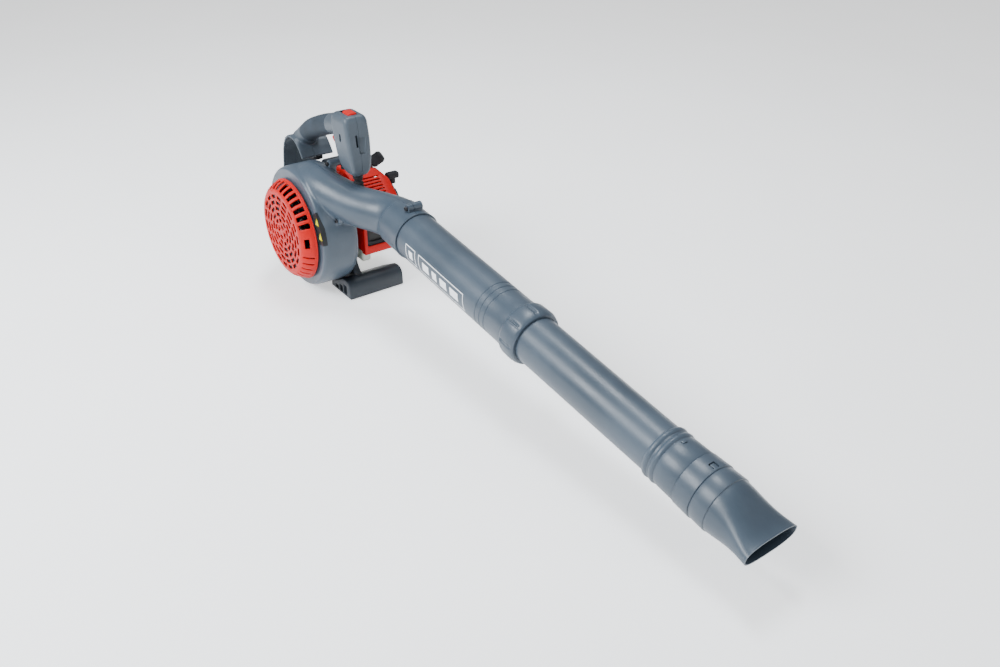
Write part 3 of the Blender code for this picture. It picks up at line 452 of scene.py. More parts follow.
def vinyl(name, colour, gloss=0.5):
    """A printed sticker: slightly glossy with worn specks."""
    look = Look(name)
    speck = look.noise(160.0, 6.0, 0.75)
    worn = tuple(c * 0.45 + 0.03 for c in colour)
    base = look.mix(look.span(speck, 0.0, 0.5, 0.62, 0.72), colour, worn)
    look.feed(base, "Base Color")
    look.feed(look.span(speck, 0.3, 0.5), "Roughness")
    look.shader.inputs["Specular IOR Level"].default_value = gloss
    look.bump([(speck, 0.1, 0.1)])
    return look.material


GREY = plastic("grey_plastic_look", (0.044, 0.063, 0.086), 0.36, 0.7, 0.16, 0.07, coat=0.06)
HANDLE_GREY = plastic("handle_plastic_look", (0.046, 0.062, 0.080), 0.42, 1.1, 0.12)
DARK = plastic("dark_plastic_look", (0.012, 0.018, 0.026), 0.45, 1.4, 0.10)
RED = plastic("red_plastic_look", (0.47, 0.002, 0.0), 0.45, 0.6, 0.01, 0.02, gloss=0.22)
BLACK = rubber("black_rubber_look", (0.012, 0.012, 0.014))
GRIP = rubber("grip_rubber_look", (0.018, 0.026, 0.036), 0.70)
TANK = tank_plastic("tank_plastic_look")
ALUMINIUM = cast_metal("aluminium_look", (0.50, 0.50, 0.49), 0.42)
STEEL = brushed_metal("steel_look", (0.55, 0.55, 0.57), 0.32)
MUFFLER = cast_metal("muffler_look", (0.020, 0.019, 0.018), 0.65, 0.3, (0.05, 0.028, 0.016), 0.5)
SCREW = cast_metal("screw_look", (0.03, 0.03, 0.035), 0.38, 0.7, (0.09, 0.08, 0.07), 0.4)
FOAM = foam("filter_foam_look")
WHITE = vinyl("white_print_look", (0.82, 0.84, 0.86))
YELLOW = vinyl("yellow_print_look", (0.66, 0.56, 0.0), 0.2)
LABEL = vinyl("label_print_look", (0.012, 0.014, 0.016), 0.25)

SLOT_LOOKS = {
    "grey_plastic": GREY, "dark_plastic": DARK, "red_plastic": RED, "black_rubber": BLACK,
    "grip_rubber": GRIP, "tank_plastic": TANK, "aluminium": ALUMINIUM, "steel": STEEL,
    "muffler_steel": MUFFLER, "black_screw": SCREW, "filter_foam": FOAM,
}


def dress_cad_nodes():
    """Every node gets the look of its material slot. The replaced ones don't show."""
    slots = {row["node"]: row["material_slot"] for row in frame["record"]["subparts"]}
    for name, node in frame["nodes"].items():
        look = SLOT_LOOKS[slots[name]]
        if not node.data.materials:
            node.data.materials.append(look)
        for index in range(len(node.data.materials)):
            node.data.materials[index] = look


# ---------------------------------------------------------------- camera and light
CAMERA_PLACE = Vector((1.2758, -0.6622, 0.7653))
CAMERA_YAW, CAMERA_PITCH, CAMERA_ROLL = 53.1, 31.4, 0.7
CAMERA_LENS, CAMERA_SENSOR, CAMERA_NEAR = 32.4, 36.0, 0.02
FLOOR_REACH, FLOOR_GLOW = 40.0, 0.80
WORLD_COLOUR, WORLD_STRENGTH = (0.98, 0.99, 1.0, 1.0), 0.46
LIGHTS = (
    # name, place, what it points at, size (all in metres), power in watts, colour
    ("key", (-0.05, -1.7, 1.5), (0.3, 0, 0.1), (0.9, 1.5), 84.0, (0.90, 0.95, 1.0)),
    ("top", (-0.1, 0.3, 2.2), (0.25, 0, 0.1), (0.9, 0.5), 40.0, (0.88, 0.94, 1.0)),
    ("side", (2.6, 0.6, 1.0), (0.3, 0, 0.1), (0.6, 1.2), 14.0, (0.93, 0.97, 1.0)),
)


def camera():
    yaw, pitch, roll = (math.radians(v) for v in (CAMERA_YAW, CAMERA_PITCH, CAMERA_ROLL))
    flat = math.cos(pitch)
    back = Vector((math.sin(yaw) * flat, -math.cos(yaw) * flat, math.sin(pitch)))
    right = Vector((math.cos(yaw), math.sin(yaw), 0.0))
    up = back.cross(right)
    turned_right = right * math.cos(roll) + up * math.sin(roll)
    turned_up = up * math.cos(roll) - right * math.sin(roll)
    data = bpy.data.cameras.new("camera")
    data.lens = CAMERA_LENS
    data.sensor_width = CAMERA_SENSOR
    data.clip_start = CAMERA_NEAR
    made = bpy.data.objects.new("camera", data)
    axes = Matrix((turned_right, turned_up, back)).transposed().to_4x4()
    made.matrix_world = Matrix.Translation(CAMERA_PLACE) @ axes
    bpy.context.scene.collection.objects.link(made)
    bpy.context.scene.camera = made


def area_light(name, place, target, size, power, colour):
    data = bpy.data.lights.new(name, "AREA")
    data.shape = "RECTANGLE"
    data.size, data.size_y = size
    data.energy = power
    data.color = colour
    made = bpy.data.objects.new(name, data)
    made.matrix_world = axis_frame(Vector(place) / MM, Vector(place) - Vector(target), UP)
    bpy.context.scene.collection.objects.link(made)


def studio():
    mesh = bmesh.new()
    bmesh.ops.create_grid(mesh, x_segments=1, y_segments=1, size=FLOOR_REACH / MM)
    floor = to_object("floor", mesh)
    look = Look("floor_look")
    shade_of_floor = look.ramp(look.noise(2.0), [(0.3, (0.90, 0.90, 0.90)), (0.7, (0.93, 0.93, 0.93))])
    look.feed(shade_of_floor, "Base Color")
    look.feed(shade_of_floor, "Emission Color")
    look.shader.inputs["Emission Strength"].default_value = FLOOR_GLOW
    look.shader.inputs["Roughness"].default_value = 0.9
    floor.data.materials.append(look.material)
    for light in LIGHTS:
        area_light(*light)
    world = bpy.data.worlds.new("world")
    world.use_nodes = True
    background = world.node_tree.nodes["Background"]
    background.inputs["Color"].default_value = WORLD_COLOUR
    background.inputs["Strength"].default_value = WORLD_STRENGTH
    bpy.context.scene.world = world


camera()
studio()
dress_cad_nodes()


# ---------------------------------------------------------------- volute
SCROLL_START, SCROLL_END = 101.0, 106.5
SHELL_OUTSIDE = [(30, -100.4), (22, -99.6), (7.0, -99.2), (5.6, -99.9), (4.0, -99.4), (1.7, -96.6),
                 (0.5, -92), (0.1, -86), (0, -78), (0, -44), (1.4, -39), (5, -34), (13, -31)]
SHELL_INSIDE = [(28, -97.4), (10, -96), (5.2, -93), (3, -87), (3, -45), (6.5, -38), (15, -34)]
DUCT_ROUTE = [(-96, -66, 148), (-78, -66, 179), (-40, -66, 195), (4, -60, 190.5), (48, -38, 178.5),
              (86, -12, 172), (112, -1.2, 169.5), (127, 0, 167.45)]
DUCT_RADII = (33, 34, 34, 34, 33.8, 33.5, 33.6, 34.6, 36.6, 38.4)
SLEEVE_RADIUS, SLEEVE_BORE = 39.4, 36.4
SLEEVE_FROM, SLEEVE_TO = 34.0, 84.0
DUCT_STATIONS, DUCT_WALL = 37, 3.0
SEAM = [(SEAM_START, PARTING_Y), (-10.0, PARTING_Y), (20.0, -52.0), (58.0, -31.0), (90.0, -9.0),
        (118.0, 0.0), (SEAM_END, 0.0)]
SEAM_GROOVE = 0.3
BOSS_ANGLES = (113, 140, 168, 205, 337)
BOSS_FRONT, TOP_BOSS_FRONT = -70.0, -46.0
BOSS_RADIUS, BOSS_LENGTH, BOSS_OUT = 6.4, 28, 4.2
SCREW_HOLE, SCREW_SIDES = 2.6, 16
TOP_BOSS = (-22.0, 229.0)
CLAMP_X, CLAMP_Z, LOW_EAR_Z = 163.0, 206.0, 119.5
INLET_RADIUS, SHAFT_HOLE = 74, 12.5
SHELL_VOXEL, SHELL_SMOOTHING = 1.8, 7
WIDEST_TURN = 0.78                     # the share of a turn where the scroll is widest


def scroll_radius(angle):
    """The drum's radius, which grows along the turn and falls back at its end."""
    turn = (angle % (2 * math.pi)) / (2 * math.pi)
    growth = SCROLL_END - SCROLL_START
    if turn <= WIDEST_TURN:
        return SCROLL_START + growth * turn / WIDEST_TURN
    return SCROLL_END - growth * ease((turn - WIDEST_TURN) / (1 - WIDEST_TURN))


def scroll_ring(offset, y, sides):
    ring = []
    for k in range(sides):
        angle = 2 * math.pi * k / sides
        radius = scroll_radius(angle) - offset
        ring.append(Vector((CRANK_X + radius * math.cos(angle), y, CRANK_Z - radius * math.sin(angle))))
    return ring


def drum(name, profile, sides=144):
    return loft(name, [scroll_ring(offset, y, sides) for offset, y in profile])


def duct_radius(share):
    """The duct's radius at a share (0 to 1) of its route."""
    at = share * (len(DUCT_RADII) - 1)
    low = min(int(at), len(DUCT_RADII) - 2)
    return DUCT_RADII[low] + (DUCT_RADII[low + 1] - DUCT_RADII[low]) * (at - low)


def duct(name, shrink, sides=56):
    path = smooth_path(DUCT_ROUTE, DUCT_STATIONS)
    radii = [duct_radius(k / (DUCT_STATIONS - 1)) - shrink for k in range(DUCT_STATIONS)]
    return loft(name, swept_rings(path, radii, sides))


def boss_places():
    """The front end of each screw boss."""
    places = [(TOP_BOSS[0], TOP_BOSS_FRONT, TOP_BOSS[1])]
    for degrees in BOSS_ANGLES:
        angle = math.radians(degrees)
        reach = scroll_radius(angle) + BOSS_OUT
        places.append((CRANK_X + reach * math.cos(angle), BOSS_FRONT, CRANK_Z - reach * math.sin(angle)))
    return places


def outlet_sleeve():
    """The sleeve that the upper tube sits in, with its clamp ear above and a lug below."""
    lip = SLEEVE_RADIUS + 0.7
    sleeve = turned("sleeve", [(38.2, SLEEVE_FROM - 1.6), (SLEEVE_RADIUS, SLEEVE_FROM),
                               (SLEEVE_RADIUS, SLEEVE_TO - 2.2), (lip, SLEEVE_TO - 1.4),
                               (lip, SLEEVE_TO - 0.5), (SLEEVE_RADIUS, SLEEVE_TO)], TUBE)
    ear = rod("clamp_ear", (CLAMP_X, -9, CLAMP_Z), (CLAMP_X, 16, CLAMP_Z), 7.0)
    web = block("clamp_web", (CLAMP_X - 6.5, -8, CLAMP_Z - 14), (CLAMP_X + 6.5, 15, CLAMP_Z - 2), 1.5)
    low_ear = rod("lower_ear", (CLAMP_X, -6, LOW_EAR_Z), (CLAMP_X, 6, LOW_EAR_Z), 4.5)
    join(ear, web)
    return join(sleeve, ear, low_ear)


def volute():
    """Both fan housing halves, made as one skin and split along the seam."""
    body = join(drum("volute", SHELL_OUTSIDE), duct("duct", 0))
    for x, y, z in boss_places():
        join(body, rod("boss", (x, y, z), (x, y + BOSS_LENGTH, z), BOSS_RADIUS))
    x, z = TOP_BOSS
    join(body, block("top_web", (x - 5, TOP_BOSS_FRONT + 1, z - 24), (x + 5, -33, z)))
    melted(body, SHELL_VOXEL, SHELL_SMOOTHING)
    join(body, outlet_sleeve())
    cut(body, drum("cavity", SHELL_INSIDE, 96), duct("duct_bore", DUCT_WALL, 40))
    cut(body, turned("sleeve_bore", [(SLEEVE_BORE, SLEEVE_FROM + 2), (SLEEVE_BORE, 100)], TUBE))
    cut(body, turned("inlet", [(INLET_RADIUS, -110), (INLET_RADIUS, -90)], CRANK, 96))
    cut(body, turned("shaft_hole", [(SHAFT_HOLE, -40), (SHAFT_HOLE, -20)], CRANK, 48))
    for x, y, z in boss_places():
        cut(body, rod("screw_hole", (x, y - 4, z), (x, y + 20, z), SCREW_HOLE, SCREW_SIDES))
    cut(body, rod("screw_hole", (CLAMP_X, -20, CLAMP_Z), (CLAMP_X, 10, CLAMP_Z), SCREW_HOLE,
                  SCREW_SIDES))
    other = copy_of(body, "volute_inner_shell")
    body.name = "volute_outer_shell"
    cut(body, half_space("far", 1, [(x, y - SEAM_GROOVE) for x, y in SEAM]))
    cut(other, half_space("near", -1, [(x, y + SEAM_GROOVE) for x, y in SEAM]))
    piece(body, GREY, "machine", "grey_plastic", "volute_outer")
    piece(other, GREY, "machine", "grey_plastic", "volute_inner")


# ---------------------------------------------------------------- grille
def offset_profile(profile, distance):
    """A line of points moved sideways by a distance, towards its inside."""
    moved = []
    for i, (r, h) in enumerate(profile):
        before, after = profile[max(i - 1, 0)], profile[min(i + 1, len(profile) - 1)]
        dr, dh = after[0] - before[0], after[1] - before[1]
        size = math.hypot(dr, dh)
        moved.append((r + distance * dh / size, h - distance * dr / size))
    return moved


def lattice(name, outer, inner, columns, is_open, place):
    """A turned shell whose cells are left out where is_open(row, column)."""
    mesh = bmesh.new()
    front, back = ([[mesh.verts.new(p) for p in circle(max(r, TINY), h, columns)] for r, h in profile]
                   for profile in (outer, inner))
    rows = len(outer) - 1

    def solid(row, column):
        return 0 <= row < rows and not is_open(row, column % columns)

    def wall(i, j, k, m):
        mesh.faces.new((front[i][j], front[k][m], back[k][m], back[i][j]))

    for i in range(rows):
        for j in range(columns):
            if not solid(i, j):
                continue
            n = (j + 1) % columns
            mesh.faces.new((front[i][j], front[i][n], front[i + 1][n], front[i + 1][j]))
            mesh.faces.new((back[i][j], back[i + 1][j], back[i + 1][n], back[i][n]))
            if not solid(i - 1, j):
                wall(i, j, i, n)
            if not solid(i + 1, j) and outer[i + 1][0] > 0.01:
                wall(i + 1, n, i + 1, j)
            if not solid(i, j - 1):
                wall(i + 1, j, i, j)
            if not solid(i, j + 1):
                wall(i, n, i + 1, n)
    return to_object(name, mesh, place)


GRILLE_COLUMNS = 180
GRILLE_SEAT, GRILLE_FACE, GRILLE_WALL = -103, -126.5, 2.4
GRILLE_RIM = [(85.0, GRILLE_SEAT), (85.0, -105.6), (84.5, -108.4), (83.5, -111.4), (82.0, -114.6),
              (79.8, -118.4), (77.2, -121.8), (74.0, -124.6), (70.8, -126.1), (68.0, GRILLE_FACE)]
RING_START, RING_PITCH, SLOT_DEPTH = 64.4, 10.2, 6.0
RING_CELLS = (10, 12, 15, 18, 20, 45)  # each ring's columns from one slot to the next
RING_WEBS = (3, 3, 4, 5, 6, 18)        # and how many of them stay solid
SIDE_ROWS, SIDE_CELLS = (2, 3, 4, 5, 6), 5
WIDE_SLOT, NARROW_SLOT = (1, 2, 3), (2,)
LATCH_ROWS = (4, 5)
LATCH_FROM, LATCH_TO, NARROW_TO = -5, 1, 46   # in columns below the side that faces the tube
ABOVE_LATCH, BELOW_LATCH = 4, 5               # the plain columns beside the latch


def grille_profile():
    profile = list(GRILLE_RIM)
    for k in range(len(RING_CELLS)):
        radius = RING_START - RING_PITCH * k
        profile += [(radius, GRILLE_FACE), (radius - SLOT_DEPTH, GRILLE_FACE)]
    return [*profile, (TINY, GRILLE_FACE)]


def grille():
    """The slotted intake grille, its seat ring and a black disc behind its face, which is painted shade
    that makes the holes read dark.
    """
    profile = grille_profile()
    inner = offset_profile(profile, GRILLE_WALL)
    inner[0] = (profile[0][0] - GRILLE_WALL, GRILLE_SEAT)
    rim_rows = len(GRILLE_RIM)

    def is_open(row, column):
        below = (column + GRILLE_COLUMNS // 2) % GRILLE_COLUMNS - GRILLE_COLUMNS // 2
        if row in SIDE_ROWS:
            in_latch = LATCH_FROM <= below < LATCH_TO
            near_latch = LATCH_FROM - ABOVE_LATCH <= below < LATCH_TO + BELOW_LATCH
            slot = NARROW_SLOT if LATCH_TO <= below < NARROW_TO else WIDE_SLOT
            return (in_latch and row in LATCH_ROWS) or (not near_latch and column % SIDE_CELLS in slot)
        ring, between = divmod(row - rim_rows, 2)
        if row < rim_rows or between or ring >= len(RING_CELLS):
            return False
        cell = RING_CELLS[ring]
        return (column + (ring % 2) * cell // 2) % cell >= RING_WEBS[ring]

    body = lattice("intake_grille_moulding", profile, inner, GRILLE_COLUMNS, is_open, CRANK)
    bevelled(body, 0.35, 1, 50)
    piece(body, RED, "grille", "red_plastic", "intake_grille", angle=math.radians(50))
    ring = turned("grille_seat_ring", [(86.0, -103.1), (86.9, -103.6), (86.9, -104.6), (85.9, -105.2),
                                       (85.3, -105.2), (85.3, -103.1)], CRANK, 120, True)
    piece(ring, RED, "grille", "red_plastic")
    # A solid black disc just behind the grille's face: painted shade, standing for the shadow inside the
    # intake.
    shade_disc = turned("grille_painted_shade_disc", [(66, -123.6), (66, -122.8)], CRANK, 96)
    piece(shade_disc, BLACK, "grille", "black_rubber")


# ---------------------------------------------------------------- tubes
UPPER_GROOVES = (294, 304.5, 315)      # places along the tubes are in mm from TUBE_START
UPPER_TO = 371.5
UPPER_WALL, LOWER_WALL = 2.2, 2.0


def groove(radius, at, depth, width):
    """A rounded groove as profile points."""
    return [(radius, at - width), (radius - depth * 0.8, at - width * 0.5), (radius - depth, at),
            (radius - depth * 0.8, at + width * 0.5), (radius, at + width)]


def upper_tube():
    r = TUBE_RADIUS
    spigot = SLEEVE_BORE - 0.3
    outside = [(spigot, 38), (spigot, 84.4), (r - 0.4, 84.4), (r, 84.9)]
    for s in UPPER_GROOVES:
        outside += groove(r, s, 0.9, 1.5)
    outside += [(r, 340), (r + 0.25, 341), (r + 0.25, UPPER_TO)]
    inside = [(r - UPPER_WALL, UPPER_TO), (r - UPPER_WALL, 100), (spigot - 2.0, 92), (spigot - 2.0, 38)]
    tube = turned("upper_tube_shell", outside + inside, TUBE, 128, True)
    piece(tube, GREY, "machine", "grey_plastic", "upper_tube")


COLLAR_FROM, COLLAR_TO, COLLAR_STEP = 354.7, 386.6, 376.6
COLLAR_PROFILE = [(38.9, COLLAR_FROM), (40.2, 355.3), (40.9, 357.0), (41.2, 360.0), (41.5, 370.0),
                  (41.4, 378.0), (41.0, 382.5), (40.2, 385.4), (39.0, COLLAR_TO)]
COLLAR_PADS, PAD_HEIGHT, GROOVE_DEPTH = 8, 1.1, 1.5


def collar_relief(angle, s):
    """How far a pad rises, or a groove sinks, at a place on the collar."""
    across = abs(((angle / (2 * math.pi) * COLLAR_PADS) % 1.0) - 0.5) * 2
    pad = PAD_HEIGHT * ease((0.86 - across) / 0.05) * ease((s - 355.5) / 3) * ease((383.5 - s) / 3)
    sunk = GROOVE_DEPTH * ease(1 - abs(across - 0.93) / 0.035) * ease((s - 357) / 3) * ease((381 - s) / 3)
    return pad - sunk


def collar():
    """The threaded collar: a rounded ring with raised pads between paired grooves."""
    sides = 192
    rings = []
    for radius, s in COLLAR_PROFILE:
        ring = []
        for k in range(sides):
            angle = 2 * math.pi * k / sides
            reach = radius + collar_relief(angle, s)
            ring.append(Vector((reach * math.cos(angle), reach * math.sin(angle), s)))
        rings.append(ring)
    for radius, s in ((35.5, COLLAR_TO), (35.5, COLLAR_STEP), (38.0, COLLAR_STEP), (38.0, COLLAR_FROM)):
        rings.append(circle(radius, s, sides))
    body = loft("collar_nut_shell", rings, True, TUBE)
    piece(body, GREY, "collar", "grey_plastic", "collar_nut", angle=math.radians(40))


BARREL_START, BARREL_END = 35.0, 33.4  # the lower tube's radius at its two ends
LOWER_FROM, LOWER_TO = 352, 708
LOWER_BEADS = (637.0, 648.0)


def lower_tube():
    """The tapering lower tube, with two beads and the step that the nozzle turns on."""
    a, b = BARREL_START, BARREL_END
    outside = [(a, LOWER_FROM), (a, 388), (b + 0.35, 630), (b + 0.6, 632.4)]
    for s in LOWER_BEADS:
        outside += [(b + 1.2, s - 4.2), (b + 2.9, s - 2.6), (b + 3.5, s), (b + 2.9, s + 2.6),
                    (b + 1.4, s + 4.2)]
    outside += [(b + 1.9, 654), (b + 2.3, 658), (b + 3.0, 684.2), (b + 2.6, 685), (b + 0.6, 685),
                (b + 0.6, LOWER_TO)]
    inside = [(b + 0.6 - LOWER_WALL, LOWER_TO), (b - LOWER_WALL, 626), (a - LOWER_WALL, 388),
              (a - LOWER_WALL, LOWER_FROM)]
    tube = turned("lower_tube_shell", outside + inside, TUBE, 128, True)
    join(tube, block("lug", (b + 2.0, -3.5, 655.5), (b + 3.6, 3.5, 660), 0.6, 2, TUBE))
    piece(tube, GREY, "machine", "grey_plastic", "lower_tube")


CUFF_FROM, FLARE_FROM, MOUTH_AT = 685.3, 735.5, 799.5
FLARE_WIDTH, FLARE_HEIGHT = 37.0, 36.6      # half sizes where the flare starts
MOUTH_WIDTH, MOUTH_HEIGHT = 43.0, 14.5      # and at the mouth
MOUTH_POWER = 0.76                          # below 1 the oval gets squarer
NOZZLE_SIDES, FLARE_RINGS, NOZZLE_WALL = 128, 22, 1.9


def nozzle_ring(s, width, height, power):
    """An oval ring, squarer the lower its power is."""
    ring = []
    for k in range(NOZZLE_SIDES):
        angle = 2 * math.pi * k / NOZZLE_SIDES
        c, n = math.cos(angle), math.sin(angle)
        ring.append(Vector((height * math.copysign(abs(c) ** power, c),
                            width * math.copysign(abs(n) ** power, n), s)))
    return ring


def nozzle_flare(inset):
    """Rings from the round cuff to the flat mouth, moved inwards by inset."""
    rings = []
    for k in range(FLARE_RINGS + 1):
        t = k / FLARE_RINGS
        flat = ease(t) ** 0.92
        waist = 1.5 * math.sin(math.pi * min(1, t * 1.15))
        width = FLARE_WIDTH + (MOUTH_WIDTH - FLARE_WIDTH) * t ** 1.8 - waist
        height = FLARE_HEIGHT + (MOUTH_HEIGHT - FLARE_HEIGHT) * flat
        rings.append(nozzle_ring(FLARE_FROM + (MOUTH_AT - FLARE_FROM) * t, width - inset,
                                 height - inset, 1 - (1 - MOUTH_POWER) * flat))
    return rings


def nozzle():
    """The flat nozzle: a cuff of two cones, the flare, and a latch tongue in a window."""
    cuff = [(36.6, CUFF_FROM), (37.3, 685.9), (37.7, 698), (38.3, 709.4), (38.1, 710.4), (36.9, 711.0),
            (37.3, 711.8), (37.7, 722), (38.1, 732.6), (37.9, 733.6), (36.8, 734.3)]
    outside = [nozzle_ring(s, r, r, 1) for r, s in cuff] + nozzle_flare(0)
    lip = [nozzle_ring(MOUTH_AT, MOUTH_WIDTH - inset, MOUTH_HEIGHT - inset, MOUTH_POWER)
           for inset in (0.5, 1.6)]
    bore = BARREL_END + 0.9
    inside = nozzle_flare(NOZZLE_WALL)[::-1][1:-1]
    inside += [nozzle_ring(s, bore, bore, 1) for s in (730, 710, CUFF_FROM)]
    body = loft("nozzle_shell", outside + lip + inside, True, TUBE)
    cut(body, block("window", (33, -5.0, 699), (45, 5.0, 708.2), 1.0, 2, TUBE))
    join(body, block("tongue", (35.2, -3.2, 700.2), (37.4, 3.2, 709.5), 0.7, 2, TUBE))
    piece(body, GREY, "nozzle", "grey_plastic", "nozzle")


STICKER, STICKER_LIFT = 0.12, 0.12     # how thick a print is, and how far off the tube


def curved_patch(name, outline, angle, look):
    """A thin print bent round the upper tube at an angle. The outline is (along, around) in mm."""
    mesh = bmesh.new()
    face = mesh.faces.new([mesh.verts.new((s, a, 0)) for s, a in outline])
    bmesh.ops.triangulate(mesh, faces=[face])
    for _ in range(3):
        bmesh.ops.subdivide_edges(mesh, edges=mesh.edges, cuts=1, use_grid_fill=True)
    for vert in mesh.verts:
        s, a = vert.co.x, vert.co.y
        turn = angle + a / TUBE_RADIUS
        out = Vector((math.cos(turn), math.sin(turn), 0))
        vert.co = out * (TUBE_RADIUS + STICKER_LIFT) + Vector((0, 0, s))
    made = to_object(name, mesh, TUBE)
    solid = made.modifiers.new("solid", "SOLIDIFY")
    solid.thickness = STICKER * MM
    solid.offset = 0.0
    apply_modifiers(made)
    return piece(made, look, "machine", "grey_plastic")


STRIPE_TURN, STRIPE_LEAN, STRIPE_REACH = 92.0, 7.0, 13.0
FRAME_LINE, LINE_GAP = 1.3, 1.6
STRIPE_FRAMES = ((108, 135), (144, 262))                      # where each starts and ends
STRIPE_BARS = ((117, 10), (155, 17), (181, 12), (202, 17), (228, 21))   # start and width
BAR_LOW, BAR_HIGH = -6.5, 5.5


def slanted(start, end, low=-STRIPE_REACH, high=STRIPE_REACH):
    """A slanted outline of (along, around) between two places on the tube."""
    def lean(around):
        return STRIPE_LEAN * (around + STRIPE_REACH) / (2 * STRIPE_REACH)
    return [(start + lean(low), low), (end + lean(low), low),
            (end + lean(high), high), (start + lean(high), high)]


def tube_stripes():
    """Plain slanted bars inside two thin slanted frames, on the side of the upper tube."""
    edge = STRIPE_REACH
    bars = []
    for start, end in STRIPE_FRAMES:
        bars += [slanted(start, start + FRAME_LINE), slanted(end - FRAME_LINE, end)]
        bars += [slanted(start + LINE_GAP, end - LINE_GAP, -edge, FRAME_LINE - edge),
                 slanted(start + LINE_GAP, end - LINE_GAP, edge - FRAME_LINE, edge)]
    for start, width in STRIPE_BARS:
        bars.append(slanted(start, start + width, BAR_LOW, BAR_HIGH))
    for k, outline in enumerate(bars):
        curved_patch(f"tube_stripe_{k + 1}", outline, math.radians(STRIPE_TURN), WHITE)


# ---------------------------------------------------------------- handle
GRIP_ROUTE = [(-150, HANDLE_Y, 230), (-137, HANDLE_Y, 243), (-114, HANDLE_Y, 259),
              (-82, HANDLE_Y, 273), (-44, HANDLE_Y, 287), (-2, HANDLE_Y, 299), (24, HANDLE_Y, 304)]
LEG_SECTIONS = [(225, 30, 46, 7), (226, 28, 48.5, 9.5), (229, 22.5, 53, 13.5), (236, 16, 57, 16.5),
                (245, 11.5, 58, 18.4), (256, 7.5, 58, 19.6), (285, 1, 55, 21), (305, -2, 51.5, 21),
                (313, -1.4, 50.4, 20.6), (318, 0, 48.6, 19.4), (321.5, 2.4, 46, 17.2), (323, 5, 43, 14.4)]
SADDLE = [(-205, 120), (-202, 149), (-198.5, 180), (-193, 204), (-187, 219), (-178, 231), (-167, 238),
          (-155, 240), (-142, 238), (-131, 232), (-122, 223), (-113, 210)]
GRIP_PATH = smooth_path(GRIP_ROUTE, 29)
ROOT_RADII = (22, 21, 20, 19.2, 18.5, 18.0, 17.6, 17.3)
CORE_RADIUS, FRONT_RADIUS = 14.2, 17.4
GRIP_RADIUS, GRIP_SWELL = 17.0, 0.5
SADDLE_WALL, LEG_ROUNDNESS = 3.6, 0.36
HANDLE_VOXEL, HANDLE_SMOOTHING = 1.3, 5
HANDLE_GROOVE = 0.2
TRIGGER_PIVOT = Vector((4, HANDLE_Y, 280))
TRIGGER_HALF, PIN_WAY = 6.8, 2.3


def leg():
    """The front leg: level sections of (height, back, front, half width)."""
    rings = []
    for z, back, front, half in LEG_SECTIONS:
        radius = min(half, (front - back) / 2) * LEG_ROUNDNESS
        outline = rounded_outline((back, HANDLE_Y - half), (front, HANDLE_Y + half), radius, 8)
        rings.append([Vector((a, b, z)) for a, b in outline])
    return loft("leg", rings)


def drum_clearance():
    """The fan drum grown a little, to be cut from what fits round it."""
    grown = [(offset - 0.6, y - 0.6 if y < PARTING_Y else y + 0.4) for offset, y in SHELL_OUTSIDE]
    return drum("clearance", grown, 96)


def trigger_room():
    low, high = TRIGGER_PIVOT + Vector((-34, -7.5, -32)), TRIGGER_PIVOT + Vector((7.5, 7.5, 9.5))
    return block("trigger_room", low, high)


def handle():
    """Both handle halves, with the rear saddle and the front leg, made as one skin and split."""
    body = loft("handle", swept_rings(GRIP_PATH, [CORE_RADIUS] * len(GRIP_PATH), 36))
    join(body, loft("root", swept_rings(GRIP_PATH[:8], ROOT_RADII, 40)))
    join(body, loft("front", swept_rings(GRIP_PATH[20:], [FRONT_RADIUS] * 9, 40)))
    join(body, leg())
    inside = offset_profile(SADDLE, SADDLE_WALL)
    join(body, extruded("saddle", SADDLE + inside[::-1], -50, 10))
    melted(body, HANDLE_VOXEL, HANDLE_SMOOTHING)
    cut(body, extruded("under_saddle", [*inside, (-113, 120)], -60, 20))
    cut(body, drum_clearance())
    cut(body, trigger_room())
    cut(body, block("switch_room", (9, HANDLE_Y - 8.4, 312), (38.6, HANDLE_Y + 8.4, 335), 2))
    way = LEFT * 15
    cut(body, rod("pivot_way", TRIGGER_PIVOT - way, TRIGGER_PIVOT + way, PIN_WAY, 16))
    cut(body, block("side_slot", (27, -56, 281), (32.5, HANDLE_Y - 16, 294), 1.8))
    cut(body, rod("scoop", (62.6, HANDLE_Y + 3, 266), (58.4, HANDLE_Y + 5, 292), 8.0))
    cut(body, block("front_slot", (47, HANDLE_Y - 6.5, 276), (60, HANDLE_Y - 2.8, 295), 1.2))
    other = copy_of(body, "handle_left_shell")
    body.name = "handle_right_shell"
    for half, side in ((body, 1), (other, -1)):
        seam_y = HANDLE_Y - side * HANDLE_GROOVE
        cut(half, half_space("far", side, [(SEAM_START, seam_y), (SEAM_END, seam_y)]))
    piece(body, HANDLE_GREY, "machine", "grey_plastic", "handle_right_half")
    piece(other, HANDLE_GREY, "machine", "grey_plastic", "handle_left_half")


def grip():
    """The soft sleeve round the handle's core."""
    path, inner = GRIP_PATH[6:22], GRIP_PATH[4:24]
    bulge = [math.sin(math.pi * k / (len(path) - 1)) for k in range(len(path))]
    radii = [GRIP_RADIUS + GRIP_SWELL * share for share in bulge]
    body = loft("grip_cover", swept_rings(path, radii, 56))
    cut(body, loft("core_way", swept_rings(inner, [CORE_RADIUS + 0.4] * len(inner), 36)))
    root = [radius + 0.3 for radius in ROOT_RADII]
    cut(body, loft("root", swept_rings(GRIP_PATH[:8], root, 40)))
    cut(body, trigger_room())
    bevelled(body, 0.6, 2, 50)
    piece(body, GRIP, "machine", "grip_rubber", "grip_sleeve")


